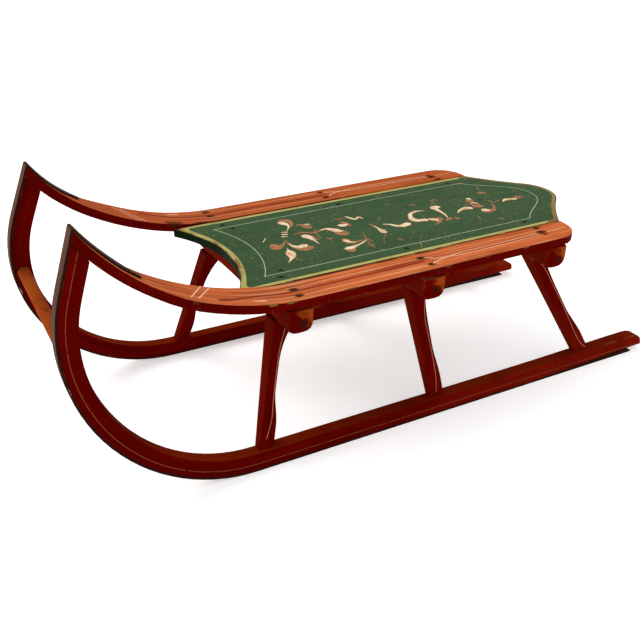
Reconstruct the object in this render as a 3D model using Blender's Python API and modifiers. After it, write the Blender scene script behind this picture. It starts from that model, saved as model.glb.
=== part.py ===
# Child's painted wooden sled with iron-shod bowed runners.
# Metres, +Z up, the front of the sled towards -Y, its left side towards +X.
# The origin is on the floor, half way along the sled and half way between its runners.

import math

import bmesh
import bpy

# Runners
runner_length = 1.0284         # from the front of the bow to the rear end of the wood
runner_track = 0.386           # outside to outside of the runners at the floor
runner_width = 0.0206
runner_depth = 0.0262          # height of the wood over its shoe
runner_splay = math.radians(7.4)
bow_radius = 0.248             # of the shoe's outer face, from the floor up
bow_upper_radius = 0.223       # of the same face higher up
bow_change = math.radians(12.8)  # below the level of the centre, where the radius changes
bow_lean = math.radians(19.7)  # of the straight run below the tip, off the vertical
bow_straight = 0.0802
runner_floor_lift = 0.0062     # of the wood's underside off its shoe at the rear end
runner_top_lift = 0.0032
runner_lift_length = 0.3000
runner_nose = 0.0300           # length of the rounded rear end
runner_heel_share = 0.34       # height of the blunt rear end, of the runner's depth
wood_edge = 0.0016             # radius worn on the long edges

# Iron shoes
shoe_thickness = 0.0024
shoe_inset = 0.0005            # from each side of the runner
shoe_tail = 0.0240             # the shoe stops short of the wood's rear end
tongue_length = 0.0985         # along the top of the rail
tongue_width = 0.0165
tongue_tip_width = 0.0070
tongue_place_share = 0.62      # of the rail's width, from its inner edge
tongue_narrow_share = 0.5      # of its length, where it has come down to its own width
tongue_point_share = 0.67      # of its length, where its point begins

# Cross beams, measured back from the front of the bow to their middles
beam_stations = {"front": 0.3174, "middle": 0.5384, "rear": 0.7774}
beam_length = 0.378
beam_overhang = 0.0465         # of each end past the posts' outer faces
beam_width = 0.0395
beam_height = 0.0355
beam_arch = 0.0065
beam_round = 0.0150            # of the lower long edges
beam_top_round = 0.0025
beam_end_round = 0.0040
deck_seat = 0.2475             # height of the beams' tops where they are level with it
seat_level_station = 0.4952
seat_slope_share = 0.0105      # rise of the seat towards the rear, of its run

# Posts
post_foot_thickness = 0.0148
post_top_thickness = 0.0292
post_edge = 0.0020
post_shapes = {
    "front": {"foot_station": 0.2529, "top_inset": 0.0010, "foot": 0.0245, "waist": 0.0165},
    "middle": {"foot_station": 0.5554, "top_inset": 0.0095, "foot": 0.0268, "waist": 0.0218},
    "rear": {"foot_station": 0.8674, "top_inset": 0.0105, "foot": 0.0318, "waist": 0.0240},
}
post_rear_inset = 0.0010       # of the flared top, inside the beam's rear face
post_waist_shares = (0.16, 0.46, 0.62)  # of its height: foot ends, waist starts, waist ends
post_flare_power = 2.6         # how late the rear edge sweeps out under the beam

# Deck board
deck_width = 0.2554
deck_thickness = 0.0135
deck_edge = 0.0014
deck_corner_station = 0.2504
deck_front_depth = 0.0400      # of the concave front
deck_rear_station = 0.8334     # of the rear corners
deck_tail = 0.0906             # of the ogee behind the rear corners
deck_crown_radius = 0.0620
deck_crown_turn = math.radians(47)

# Side rails
rail_width = 0.0582
rail_thickness = 0.0135
rail_end_station = 0.8330
rail_end_round = 0.0450
rail_rise_station = 0.3364     # where the rail leaves the level
rail_wide_radius = 0.4140      # of the top face, on the first part of the rise
rail_turn = math.radians(30)   # slope where the rise tightens
rail_taper = math.radians(21.5)
rail_taper_round = 0.1200
rail_inner_ease = 0.0560       # length over which the inner edge runs in to the tip

# Rung
rung_diameter = 0.0185
rung_height = 0.2245
rung_groove_depth = 0.0010
rung_groove_width = 0.0040
rung_groove_out = 0.0300       # from each end

# Fits and fineness
gap = 0.0003                   # between pieces that touch
weld_distance = 0.00003
corner_limit_share = 0.45      # of a section's side, the most that a rounded corner may take
smooth_angle = math.radians(35)
deck_edge_angle = math.radians(60)
bow_steps = 20                 # of the lower arc
bow_upper_steps = 9
rail_steps = 20
tongue_steps = 7
end_steps = 5
lift_steps = 8
post_steps = 16
arch_steps = 10
corner_steps = 2
beam_corner_steps = 4
beam_end_steps = 3
outline_steps = 14
flank_steps = 7
rung_sides = 20
halvings = 40                  # of the interval in which a place along the rail is looked for


def station(distance):
    """Y of a place measured back from the front of the bow."""
    return distance - runner_length / 2


def blend(low, high, share):
    return low + (high - low) * share


def smooth(share):
    share = min(max(share, 0), 1)
    return share * share * (3 - 2 * share)


def mix(a, b, share):
    return tuple(blend(p, q, share) for p, q in zip(a, b))


def lift(y):
    """Rise of the seat at a place along the sled, over its height where it is level with it."""
    return seat_slope_share * (y - station(seat_level_station))


def arc(centre, radius, start, end, steps):
    """Points round a centre in a plane, from one angle to another."""
    angles = [blend(start, end, step / steps) for step in range(steps + 1)]
    return [(centre[0] + radius * math.cos(a), centre[1] + radius * math.sin(a)) for a in angles]


# Materials

def paint(name, colour, roughness, metallic=0):
    material = bpy.data.materials.new(name)
    material.use_nodes = True
    shader = material.node_tree.nodes["Principled BSDF"]
    shader.inputs["Base Color"].default_value = (*colour, 1)
    shader.inputs["Roughness"].default_value = roughness
    shader.inputs["Metallic"].default_value = metallic
    return material


# Making solids

def keep(name, mesh, material, collection):
    """Make a named object of a finished mesh."""
    mesh.shade_smooth()
    mesh.set_sharp_from_angle(angle=smooth_angle)
    mesh.materials.append(material)
    part = bpy.data.objects.new(name, mesh)
    collection.objects.link(part)
    return part


def loft(name, sections, material, collection):
    """Skin a row of closed sections that have the same number of points, and cap its ends."""
    body = bmesh.new()
    rings = [[body.verts.new(point) for point in section] for section in sections]
    for near, far in zip(rings, rings[1:]):
        for i in range(len(near)):
            j = (i + 1) % len(near)
            body.faces.new((near[i], near[j], far[j], far[i]))
    body.faces.new(rings[0])
    body.faces.new(rings[-1])
    bmesh.ops.recalc_face_normals(body, faces=body.faces)
    mesh = bpy.data.meshes.new(name)
    body.to_mesh(mesh)
    body.free()
    return keep(name, mesh, material, collection)


def rounded(corners, radii, steps):
    """A four-sided section with its corners rounded, from the corners in order round it."""
    points = []
    for i, corner in enumerate(corners):
        ends = []
        for other in (corners[i - 1], corners[(i + 1) % 4]):
            share = min(radii[i] / math.dist(corner, other), corner_limit_share)
            ends.append(mix(corner, other, share))
        for step in range(steps + 1):
            share = step / steps
            points.append(mix(mix(ends[0], corner, share), mix(corner, ends[1], share), share))
    return points


# The bow in side view, as (y, z)

wood_inset = shoe_thickness + gap                      # from the shoe's outer face to the wood
bow_shift = bow_radius - bow_upper_radius              # between the centres of the two arcs
bow_centre = (station(bow_upper_radius + bow_shift * math.cos(bow_change)), bow_radius)
upper_centre = (bow_centre[0] - bow_shift * math.cos(bow_change),
                bow_centre[1] - bow_shift * math.sin(bow_change))
bow_up = (math.sin(bow_lean), math.cos(bow_lean))      # along the straight run, upwards
bow_out = (-math.cos(bow_lean), math.sin(bow_lean))    # square to it, forwards


def bow_curve(inset):
    """The bow at an inset from the shoe's outer face, from the floor up to the straight run."""
    lower = arc(bow_centre, bow_radius - inset, -math.pi / 2, bow_change - math.pi, bow_steps)
    upper = arc(upper_centre, bow_upper_radius - inset, bow_change - math.pi,
                -math.pi - bow_lean, bow_upper_steps)
    return lower + upper[1:]


def on_straight(inset, along):
    """A point on the straight run under the tip, at an inset from the shoe's outer face."""
    reach = bow_upper_radius - inset
    return tuple(upper_centre[k] + bow_out[k] * reach + bow_up[k] * along for k in (0, 1))


def runner_x(z, inset=0):
    """Distance of the runner's outer face, or of a plane inset from it, from the sled's middle."""
    return runner_track / 2 - math.tan(runner_splay) * z - inset


def wood_floor(y):
    """Height of the underside of the runner's wood, along its flat and its lifted end."""
    share = (y - station(runner_length - runner_lift_length)) / runner_lift_length
    return wood_inset + runner_floor_lift * smooth(share)


def wood_top(y):
    """Height of the top of the runner's wood, which rises less, so that the end is thinner."""
    share = (y - station(runner_length - runner_lift_length)) / runner_lift_length
    return wood_inset + runner_depth + runner_top_lift * smooth(share)


# The rail in side view: its top follows the seat, rises on a wide arc, then on a tighter one to
# the tip. It runs out over the end of the runner, which is cut to its underside.

rail_top = deck_seat + gap + rail_thickness
seat_slope = math.atan(seat_slope_share)
rise_y = station(rail_rise_station)
wide_centre = (rise_y - rail_wide_radius * math.sin(seat_slope),
               rail_top + lift(rise_y) + rail_wide_radius * math.cos(seat_slope))
turn_y = wide_centre[0] - rail_wide_radius * math.sin(rail_turn)
turn_z = wide_centre[1] - rail_wide_radius * math.cos(rail_turn)
tip = on_straight(wood_inset, bow_straight)
tip_run = turn_y - tip[0]
tip_rise = tip[1] - turn_z
tight_radius = (tip_run ** 2 + tip_rise ** 2) / (
    2 * (tip_rise * math.cos(rail_turn) - tip_run * math.sin(rail_turn)))
tight_centre = (turn_y + tight_radius * math.sin(rail_turn),
                turn_z + tight_radius * math.cos(rail_turn))
tip_slope = math.asin((tight_centre[0] - tip[0]) / tight_radius)


def rail_point(slope, depth):
    """A point on the rising part of the rail where it has a slope, at a depth under its top."""
    if slope <= rail_turn:
        centre, reach = wide_centre, rail_wide_radius + depth
    else:
        centre, reach = tight_centre, tight_radius + depth
    return centre[0] - reach * math.sin(slope), centre[1] - reach * math.cos(slope)


def meeting_slope(inset):
    """Slope of the rail where its underside meets a face of the bow's straight run."""
    face = on_straight(inset, 0)
    low, high = 0, tip_slope
    for _ in range(halvings):
        middle = (low + high) / 2
        y, z = rail_point(middle, rail_thickness)
        if (y - face[0]) * bow_out[0] + (z - face[1]) * bow_out[1] < 0:
            low = middle
        else:
            high = middle
    return low


front_slope = meeting_slope(wood_inset)
runner_front = rail_point(front_slope, rail_thickness)
runner_back = rail_point(meeting_slope(wood_inset + runner_depth), rail_thickness)


# The rail in plan, as distances from the middle of the sled

rail_inner_full = deck_width / 2 + gap
rail_outer_full = rail_inner_full + rail_width


def rail_outer(y):
    tip_out = runner_x(tip[1])
    knee = tip[0] + (rail_outer_full - tip_out) / math.tan(rail_taper)
    reach = rail_taper_round * math.tan(rail_taper / 2)
    if y > knee + reach:
        return rail_outer_full
    if y < knee - reach * math.cos(rail_taper):
        return tip_out + (y - tip[0]) * math.tan(rail_taper)
    side = knee + reach - y
    return rail_outer_full - rail_taper_round + math.sqrt(rail_taper_round ** 2 - side ** 2)


def rail_inner(y):
    tip_in = runner_x(tip[1], runner_width)
    return blend(tip_in, rail_inner_full, smooth((y - tip[0]) / rail_inner_ease))


# Runner

def runner_profile():
    """Pairs of points on the underside and the top of the wood, from the rear end to the tip."""
    end = station(runner_length)
    pairs = []
    for step in range(end_steps + 1):
        turn = step / end_steps * math.pi / 2
        y = end - runner_nose * (1 - math.cos(turn))
        height = blend(runner_heel_share, 1, math.sin(turn))
        pairs.append(((y, wood_floor(y)), (y, blend(wood_floor(y), wood_top(y), height))))
    for step in range(1, lift_steps + 1):
        y = blend(end - runner_nose, end - runner_lift_length, step / lift_steps)
        pairs.append(((y, wood_floor(y)), (y, wood_top(y))))
    pairs += zip(bow_curve(wood_inset), bow_curve(wood_inset + runner_depth))
    # The flat cut clears the rail's curved underside in the middle.
    under_radius = tight_radius + rail_thickness
    bulge = under_radius - math.sqrt(under_radius ** 2 - math.dist(runner_front, runner_back) ** 2 / 4)
    drop = (gap + bulge) / math.cos(front_slope - bow_lean)
    pairs.append(tuple(tuple(end[k] - bow_up[k] * drop for k in (0, 1))
                       for end in (runner_front, runner_back)))
    return pairs


def make_runner(name, side, material, collection):
    sections = []
    for (y0, z0), (y1, z1) in runner_profile():
        corners = [(side * runner_x(z0, runner_width), y0, z0), (side * runner_x(z0), y0, z0),
                   (side * runner_x(z1), y1, z1), (side * runner_x(z1, runner_width), y1, z1)]
        sections.append(rounded(corners, [wood_edge] * 4, corner_steps))
    loft(name, sections, material, collection)


# Shoe

def shoe_profile():
    """Rows of outer point, inner point and the strap's two edges, from its tail to its tongue."""
    def bow_row(outer, inner):
        edges = [(runner_x(z, shoe_inset), runner_x(z, runner_width - shoe_inset))
                 for _, z in (outer, inner)]
        return outer, inner, edges[0], edges[1]

    rows = []
    tail = station(runner_length - shoe_tail)
    for step in range(end_steps):
        y = blend(tail, bow_centre[0], step / end_steps)
        rows.append(bow_row((y, 0), (y, shoe_thickness)))
    for outer, inner in zip(bow_curve(0), bow_curve(shoe_thickness)):
        rows.append(bow_row(outer, inner))
    # Round the tip of the wood, from the bow's front face to the rail's top
    fold_start = math.pi - bow_lean
    fold_end = math.pi / 2 - tip_slope
    tip_edges = (runner_x(tip[1], shoe_inset), runner_x(tip[1], runner_width - shoe_inset))
    for outer, inner in zip(arc(tip, wood_inset, fold_start, fold_end, end_steps),
                            arc(tip, gap, fold_start, fold_end, end_steps)):
        rows.append((outer, inner, tip_edges, tip_edges))
    for step in range(1, tongue_steps + 1):
        share = step / tongue_steps
        slope = tip_slope - tongue_length * share / tight_radius
        outer = rail_point(slope, -wood_inset)
        inner = rail_point(slope, -gap)
        middle = blend(sum(tip_edges) / 2,
                       blend(rail_inner(outer[0]), rail_outer(outer[0]), tongue_place_share),
                       smooth(share))
        full = blend(tip_edges[0] - tip_edges[1], tongue_width, smooth(share / tongue_narrow_share))
        pointing = smooth((share - tongue_point_share) / (1 - tongue_point_share))
        half = blend(full, tongue_tip_width, pointing) / 2
        rows.append((outer, inner, (middle + half, middle - half), (middle + half, middle - half)))
    return rows


def make_shoe(name, side, material, collection):
    sections = []
    for outer, inner, outer_edges, inner_edges in shoe_profile():
        sections.append([(side * outer_edges[0], *outer), (side * inner_edges[0], *inner),
                         (side * inner_edges[1], *inner), (side * outer_edges[1], *outer)])
    loft(name, sections, material, collection)


# Rail

def make_rail(name, side, material, collection):
    end = station(rail_end_station)
    rows = []
    for back, kept in arc((0, 0), rail_end_round, 0, math.pi / 2, end_steps):
        y = end - rail_end_round + back
        top = rail_top + lift(y)
        rows.append(((y, top), (y, top - rail_thickness), rail_end_round - kept))
    for step in range(rail_steps + 1):
        share = step / rail_steps
        rows.append((rail_point(blend(-seat_slope, tip_slope, share), 0),
                     rail_point(blend(-seat_slope, front_slope, share), rail_thickness), 0))
    sections = []
    for (y0, z0), (y1, z1), trim in rows:
        under_out = max(rail_outer(y1), runner_x(z1)) - trim
        corners = [(side * rail_inner(y1), y1, z1), (side * under_out, y1, z1),
                   (side * (rail_outer(y0) - trim), y0, z0), (side * rail_inner(y0), y0, z0)]
        sections.append(rounded(corners, [wood_edge] * 4, corner_steps))
    loft(name, sections, material, collection)


# Cross beam

post_top_out = beam_length / 2 - beam_overhang   # outer face of the posts, from the sled's middle


def make_beam(name, distance, material, collection):
    """A bar with a flat top, rounded lower edges, an arched underside and eased ends."""
    arch_half = post_top_out - post_top_thickness
    ends = [(beam_length / 2 - beam_end_round + out, beam_end_round - kept)
            for out, kept in arc((0, 0), beam_end_round, 0, math.pi / 2, beam_end_steps)]
    rows = [(x, ease) for x, ease in ends]
    rows += [(arch_half * (1 - 2 * step / arch_steps), 0) for step in range(arch_steps + 1)]
    rows += [(-x, ease) for x, ease in reversed(ends)]
    front = station(distance) - beam_width / 2
    rear = front + beam_width
    sections = []
    for x, ease in rows:
        share = min(abs(x) / arch_half, 1)
        low = deck_seat - beam_height + beam_arch * (1 - share ** 2)
        places = [(front + ease, low + ease), (rear - ease, low + ease),
                  (rear - ease, deck_seat - ease), (front + ease, deck_seat - ease)]
        corners = [(x, y, z + lift(y)) for y, z in places]
        radii = [beam_round, beam_round, beam_top_round, beam_top_round]
        sections.append(rounded(corners, radii, beam_corner_steps))
    loft(name, sections, material, collection)


# Post

def post_width(share, shape):
    """Width in side view at a share of the post's height."""
    foot_end, waist_start, waist_end = post_waist_shares
    top = beam_width - shape["top_inset"] - post_rear_inset
    narrowing = smooth((share - foot_end) / (waist_start - foot_end))
    flare = max(share - waist_end, 0) / (1 - waist_end)
    width = blend(shape["foot"], shape["waist"], narrowing)
    return width + (top - shape["waist"]) * flare ** post_flare_power


def make_post(name, place, side, material, collection):
    """A splayed post, thinner at its foot, with a straight front and a waisted rear edge."""
    shape = post_shapes[place]
    top_z = deck_seat - beam_height - gap
    top_front = station(beam_stations[place]) - beam_width / 2 + shape["top_inset"]
    foot_front = station(shape["foot_station"])
    foot_in = runner_x(wood_inset + runner_depth, runner_width)
    top_in = post_top_out - post_top_thickness
    sections = []
    for step in range(post_steps + 1):
        share = step / post_steps
        front = blend(foot_front, top_front, share)
        rear = front + post_width(share, shape)
        inner = blend(foot_in, top_in, share)
        outer = blend(foot_in + post_foot_thickness, post_top_out, share)
        foot_rear = foot_front + shape["foot"]
        front_z = blend(wood_top(foot_front) + gap, top_z + lift(front), share)
        rear_z = blend(wood_top(foot_rear) + gap, top_z + lift(rear), share)
        corners = [(side * inner, front, front_z), (side * outer, front, front_z),
                   (side * outer, rear, rear_z), (side * inner, rear, rear_z)]
        sections.append(rounded(corners, [post_edge] * 4, corner_steps))
    loft(name, sections, material, collection)


# Deck board

def deck_outline():
    """Plan of the board: a concave front, straight sides and an ogee at the rear."""
    half = deck_width / 2
    front = station(deck_corner_station)
    rear = station(deck_rear_station)
    radius = (half ** 2 + deck_front_depth ** 2) / (2 * deck_front_depth)
    sweep = math.asin(half / radius)
    centre = (0, front + deck_front_depth - radius)
    points = arc(centre, radius, math.pi / 2 + sweep, math.pi / 2 - sweep, outline_steps)
    crown = (0, rear + deck_tail - deck_crown_radius)
    shoulder = (deck_crown_radius * math.sin(deck_crown_turn),
                crown[1] + deck_crown_radius * math.cos(deck_crown_turn))
    # The flank leaves the crown on its tangent and curves the other way to the corner.
    along = (math.cos(deck_crown_turn), -math.sin(deck_crown_turn))
    across = (math.sin(deck_crown_turn), math.cos(deck_crown_turn))
    run = (half - shoulder[0], rear - shoulder[1])
    forward = run[0] * along[0] + run[1] * along[1]
    sideways = run[0] * across[0] + run[1] * across[1]
    flank = []
    for step in range(1, flank_steps + 1):
        share = step / flank_steps
        reach = (forward * share, sideways * share ** 2)
        flank.append(tuple(shoulder[k] + along[k] * reach[0] + across[k] * reach[1]
                           for k in (0, 1)))
    points += reversed(flank)
    points += arc(crown, deck_crown_radius, math.pi / 2 - deck_crown_turn,
                  math.pi / 2 + deck_crown_turn, outline_steps)
    points += [(-x, y) for x, y in flank]
    return points


def make_deck(name, material, collection):
    curve = bpy.data.curves.new(name, "CURVE")
    curve.dimensions = "2D"
    curve.fill_mode = "BOTH"
    curve.extrude = deck_thickness / 2
    outline = deck_outline()
    spline = curve.splines.new("POLY")
    spline.points.add(len(outline) - 1)
    for point, (x, y) in zip(spline.points, outline):
        point.co = (x, y, 0, 1)
    spline.use_cyclic_u = True
    flat = bpy.data.objects.new(name + "_outline", curve)
    collection.objects.link(flat)
    flat.location.z = deck_seat + gap + deck_thickness / 2
    bpy.context.view_layer.update()
    seen = flat.evaluated_get(bpy.context.evaluated_depsgraph_get())
    mesh = bpy.data.meshes.new_from_object(seen)
    mesh.transform(flat.matrix_world)
    bpy.data.objects.remove(flat)
    body = bmesh.new()
    body.from_mesh(mesh)
    bmesh.ops.remove_doubles(body, verts=body.verts, dist=weld_distance)
    bmesh.ops.recalc_face_normals(body, faces=body.faces)
    for corner in body.verts:
        corner.co.z += lift(corner.co.y)
    body.to_mesh(mesh)
    body.free()
    mesh.materials.clear()
    deck = keep(name, mesh, material, collection)
    edges = deck.modifiers.new("worn edges", "BEVEL")
    edges.width = deck_edge
    edges.segments = corner_steps
    edges.limit_method = "ANGLE"
    edges.angle_limit = deck_edge_angle


# Rung

def make_rung(name, material, collection):
    """A turned bar with a groove near each end, cut to the slant of the runners' inner faces."""
    radius = rung_diameter / 2
    near_edge = runner_x(rung_height, runner_width) - gap - rung_groove_out
    far_edge = near_edge - rung_groove_width
    turned = [(near_edge, radius), ((near_edge + far_edge) / 2, radius - rung_groove_depth),
              (far_edge, radius)]
    turned += [(-x, r) for x, r in reversed(turned)]
    reach = bow_upper_radius - wood_inset - runner_depth / 2
    y = upper_centre[0] - math.sqrt(reach ** 2 - (rung_height - upper_centre[1]) ** 2)
    circle = arc((y, rung_height), radius, 0, math.tau, rung_sides)[:-1]
    sections = [[(runner_x(v, runner_width) - gap, u, v) for u, v in circle]]
    for x, r in turned:
        sections.append([(x, u, v) for u, v in arc((y, rung_height), r, 0, math.tau, rung_sides)[:-1]])
    sections.append([(gap - runner_x(v, runner_width), u, v) for u, v in circle])
    loft(name, sections, material, collection)


def main():
    for thing in list(bpy.data.objects):
        bpy.data.objects.remove(thing, do_unlink=True)
    sled = bpy.data.collections.new("sled")
    bpy.context.scene.collection.children.link(sled)

    red = paint("dark red paint", (0.13, 0.006, 0.004), 0.5)
    orange = paint("worn orange-brown paint", (0.50, 0.10, 0.03), 0.55)
    green = paint("green paint", (0.05, 0.12, 0.055), 0.55)
    iron = paint("rusted iron", (0.13, 0.08, 0.055), 0.6, 0.6)

    make_deck("deck_board", green, sled)
    for place, distance in beam_stations.items():
        make_beam(f"beam_{place}", distance, red, sled)
    for hand, side in (("left", 1), ("right", -1)):
        make_runner(f"runner_{hand}", side, red, sled)
        make_shoe(f"shoe_{hand}", side, iron, sled)
        make_rail(f"rail_{hand}", side, orange, sled)
        for place in post_shapes:
            make_post(f"post_{place}_{hand}", place, side, red, sled)
    make_rung("front_rung", orange, sled)


main()
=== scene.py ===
# A child's painted coasting sled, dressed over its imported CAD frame.
# Metres, +Z up, the front towards -Y, the sled's left side towards +X.
import math

import bmesh
import bpy
from mathutils import Matrix, Vector
from mathutils.bvhtree import BVHTree
from mathutils.geometry import delaunay_2d_cdt


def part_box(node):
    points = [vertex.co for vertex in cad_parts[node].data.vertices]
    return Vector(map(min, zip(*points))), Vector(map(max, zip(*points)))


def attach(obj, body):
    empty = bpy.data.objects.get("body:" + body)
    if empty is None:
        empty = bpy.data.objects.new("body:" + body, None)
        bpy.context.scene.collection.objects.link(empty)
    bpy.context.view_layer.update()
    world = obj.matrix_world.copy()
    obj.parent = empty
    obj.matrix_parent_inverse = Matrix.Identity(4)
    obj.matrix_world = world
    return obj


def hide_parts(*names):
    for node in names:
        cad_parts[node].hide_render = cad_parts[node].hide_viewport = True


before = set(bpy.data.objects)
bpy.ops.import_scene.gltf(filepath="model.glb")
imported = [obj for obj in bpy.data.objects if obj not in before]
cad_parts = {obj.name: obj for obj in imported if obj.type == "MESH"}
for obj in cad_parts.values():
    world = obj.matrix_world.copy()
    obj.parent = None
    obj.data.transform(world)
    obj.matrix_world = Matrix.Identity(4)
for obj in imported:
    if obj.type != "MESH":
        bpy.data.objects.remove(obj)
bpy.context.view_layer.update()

print("camera")

viewpoint = {
    "place": (1.0347, -0.6409, 0.7536),
    "azimuth": 60.79,        # degrees round from +Y
    "elevation": 28.64,
    "roll": 1.294,
    "lens": 45.2,
    "sensor": 36.0,
}


def makeCamera(settings):
    aside, above = math.radians(settings["azimuth"]), math.radians(settings["elevation"])
    look = Vector((-math.sin(aside) * math.cos(above), math.cos(aside) * math.cos(above), -math.sin(above)))
    turn = look.to_track_quat("-Z", "Y").to_matrix() @ Matrix.Rotation(math.radians(settings["roll"]), 3, "Z")
    camera = bpy.data.objects.new("camera", bpy.data.cameras.new("camera"))
    camera.data.lens = settings["lens"]
    camera.data.sensor_width = settings["sensor"]
    camera.matrix_world = Matrix.Translation(settings["place"]) @ turn.to_4x4()
    bpy.context.scene.collection.objects.link(camera)
    bpy.context.scene.camera = camera


makeCamera(viewpoint)

print("studio")

studio = {
    "floorSize": 60.0,
    "floorColour": (0.93, 0.93, 0.93, 1),
    "floorRoughness": 0.9,
    "floorGloss": 0.1,
    "floorGlow": 0.42,
    "skyColour": (1.0, 1.0, 1.0, 1),
    "skyStrength": 0.82,
    "lamps": [               # name, direction that it comes from, strength, softness in degrees, colour
        ("keyLight", (-0.85, -0.85, 1.35), 1.00, 34.0, (1.0, 0.985, 0.965)),
        ("frontLight", (0.15, -1.0, 0.45), 0.25, 60.0, (1.0, 0.98, 0.95)),
    ],
}


def makeStudio(settings):
    scene = bpy.context.scene
    scene.view_settings.view_transform = "Standard"
    half = settings["floorSize"] / 2
    mesh = bpy.data.meshes.new("studioFloor")
    corners = [(-half, -half, 0), (half, -half, 0), (half, half, 0), (-half, half, 0)]
    mesh.from_pydata(corners, [], [(0, 1, 2, 3)])
    floor = bpy.data.objects.new("studioFloor", mesh)
    scene.collection.objects.link(floor)
    material = bpy.data.materials.new("studio floor")
    material.use_nodes = True
    shader = material.node_tree.nodes["Principled BSDF"]
    shader.inputs["Base Color"].default_value = settings["floorColour"]
    shader.inputs["Roughness"].default_value = settings["floorRoughness"]
    shader.inputs["Specular IOR Level"].default_value = settings["floorGloss"]
    shader.inputs["Emission Color"].default_value = settings["floorColour"]
    shader.inputs["Emission Strength"].default_value = settings["floorGlow"]
    mesh.materials.append(material)
    world = bpy.data.worlds.new("studio sky")
    world.use_nodes = True
    sky = world.node_tree.nodes["Background"]
    sky.inputs["Color"].default_value = settings["skyColour"]
    sky.inputs["Strength"].default_value = settings["skyStrength"]
    scene.world = world
    for name, source, strength, softness, colour in settings["lamps"]:
        lamp = bpy.data.lights.new(name, "SUN")
        lamp.energy = strength
        lamp.angle = math.radians(softness)
        lamp.color = colour
        holder = bpy.data.objects.new(name, lamp)
        holder.matrix_world = Vector(source).to_track_quat("Z", "Y").to_matrix().to_4x4()
        scene.collection.objects.link(holder)


makeStudio(studio)

print("lines of the bent wood")

bow = {
    "length": 1.0284,
    "track": 0.386,
    "width": 0.0206,
    "depth": 0.0262,
    "splay": math.radians(7.4),
    "radius": 0.248,
    "upperRadius": 0.223,
    "change": math.radians(12.8),
    "lean": math.radians(19.7),
    "straight": 0.0802,
    "strap": 0.0024,
    "gap": 0.0003,
    "farStart": 3.0,         # added to places along a bent piece, so that they stay above zero
    "farEnd": 9.0,           # past its other end, so that only its long edges count as edges
}
seat = {"slope": 0.0105, "level": 0.4952}      # rise to the rear, and the station where its height is set
rail = {
    "top": 0.2613,
    "thickness": 0.0135,
    "inner": 0.1280,
    "width": 0.0582,
    "rise": 0.3364,
    "wideRadius": 0.414,
    "turn": math.radians(30),
    "taper": math.radians(21.5),
    "taperRound": 0.120,
    "ease": 0.056,
}


def direction(angle):
    # The way that lies at an angle from +Z, in the plane of (y, z).
    return Vector((math.sin(angle), math.cos(angle)))


strapInset = bow["strap"] + bow["gap"]
halfLength = bow["length"] / 2
bowShift = bow["radius"] - bow["upperRadius"]
bowCentre = Vector((bow["upperRadius"] + bowShift * math.cos(bow["change"]) - halfLength, bow["radius"]))
upperCentre = bowCentre - Vector((math.cos(bow["change"]), math.sin(bow["change"]))) * bowShift
bowUp = direction(bow["lean"])
bowOut = Vector((-math.cos(bow["lean"]), math.sin(bow["lean"])))
lowerRun = bow["radius"] * (math.pi / 2 - bow["change"])
upperRun = bow["upperRadius"] * (bow["change"] + bow["lean"])
tilt = math.atan(seat["slope"])
seatUp = Vector((0, -tilt, 1))
riseY = rail["rise"] - halfLength
riseTop = rail["top"] + seat["slope"] * (rail["rise"] - seat["level"])
wideCentre = Vector((riseY, riseTop)) + rail["wideRadius"] * Vector((-math.sin(tilt), math.cos(tilt)))
turnPoint = wideCentre - direction(rail["turn"]) * rail["wideRadius"]
tipPoint = upperCentre + bowOut * (bow["upperRadius"] - strapInset) + bowUp * bow["straight"]
tipRun, tipRise = turnPoint[0] - tipPoint[0], tipPoint[1] - turnPoint[1]
tightReach = tipRise * math.cos(rail["turn"]) - tipRun * math.sin(rail["turn"])
tightRadius = (tipRun ** 2 + tipRise ** 2) / (2 * tightReach)
tightCentre = turnPoint + direction(rail["turn"]) * tightRadius


def smooth(share):
    share = min(max(share, 0), 1)
    return share * share * (3 - 2 * share)


def seatLift(y):
    return seat["slope"] * (y + halfLength - seat["level"])


def runnerOut(z):
    return bow["track"] / 2 - math.tan(bow["splay"]) * z


def runnerGrain(point):
    # Along the bent runner, in from its outer face, and in from the strap.
    side = (runnerOut(point.z) - abs(point.x)) * math.cos(bow["splay"])
    at = Vector((point.y, point.z))
    low, high = at - bowCentre, at - upperCentre
    if low[0] >= 0:
        return Vector((bow["farStart"] + low[0], side, at[1] - strapInset))
    turned = math.atan2(-low[0], -low[1])
    quarter = math.pi / 2 - bow["change"]
    if turned <= quarter:
        along, radius, depth = bow["radius"] * turned, bow["radius"], low.length
    else:
        turned = math.atan2(-high[0], -high[1]) - quarter
        radius = bow["upperRadius"]
        if turned <= bow["change"] + bow["lean"]:
            along, depth = lowerRun + radius * turned, high.length
        else:
            along, depth = lowerRun + upperRun + high.dot(bowUp), high.dot(bowOut)
    return Vector((bow["farStart"] - along, side, radius - strapInset - depth))


def railOuter(y):
    tipOut = runnerOut(tipPoint[1])
    full = rail["inner"] + rail["width"]
    knee = tipPoint[0] + (full - tipOut) / math.tan(rail["taper"])
    reach = rail["taperRound"] * math.tan(rail["taper"] / 2)
    if y > knee + reach:
        return full
    if y < knee - reach * math.cos(rail["taper"]):
        return tipOut + (y - tipPoint[0]) * math.tan(rail["taper"])
    return full - rail["taperRound"] + math.sqrt(rail["taperRound"] ** 2 - (knee + reach - y) ** 2)


def railInner(y):
    tipIn = runnerOut(tipPoint[1]) - bow["width"]
    return tipIn + (rail["inner"] - tipIn) * smooth((y - tipPoint[0]) / rail["ease"])


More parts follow.
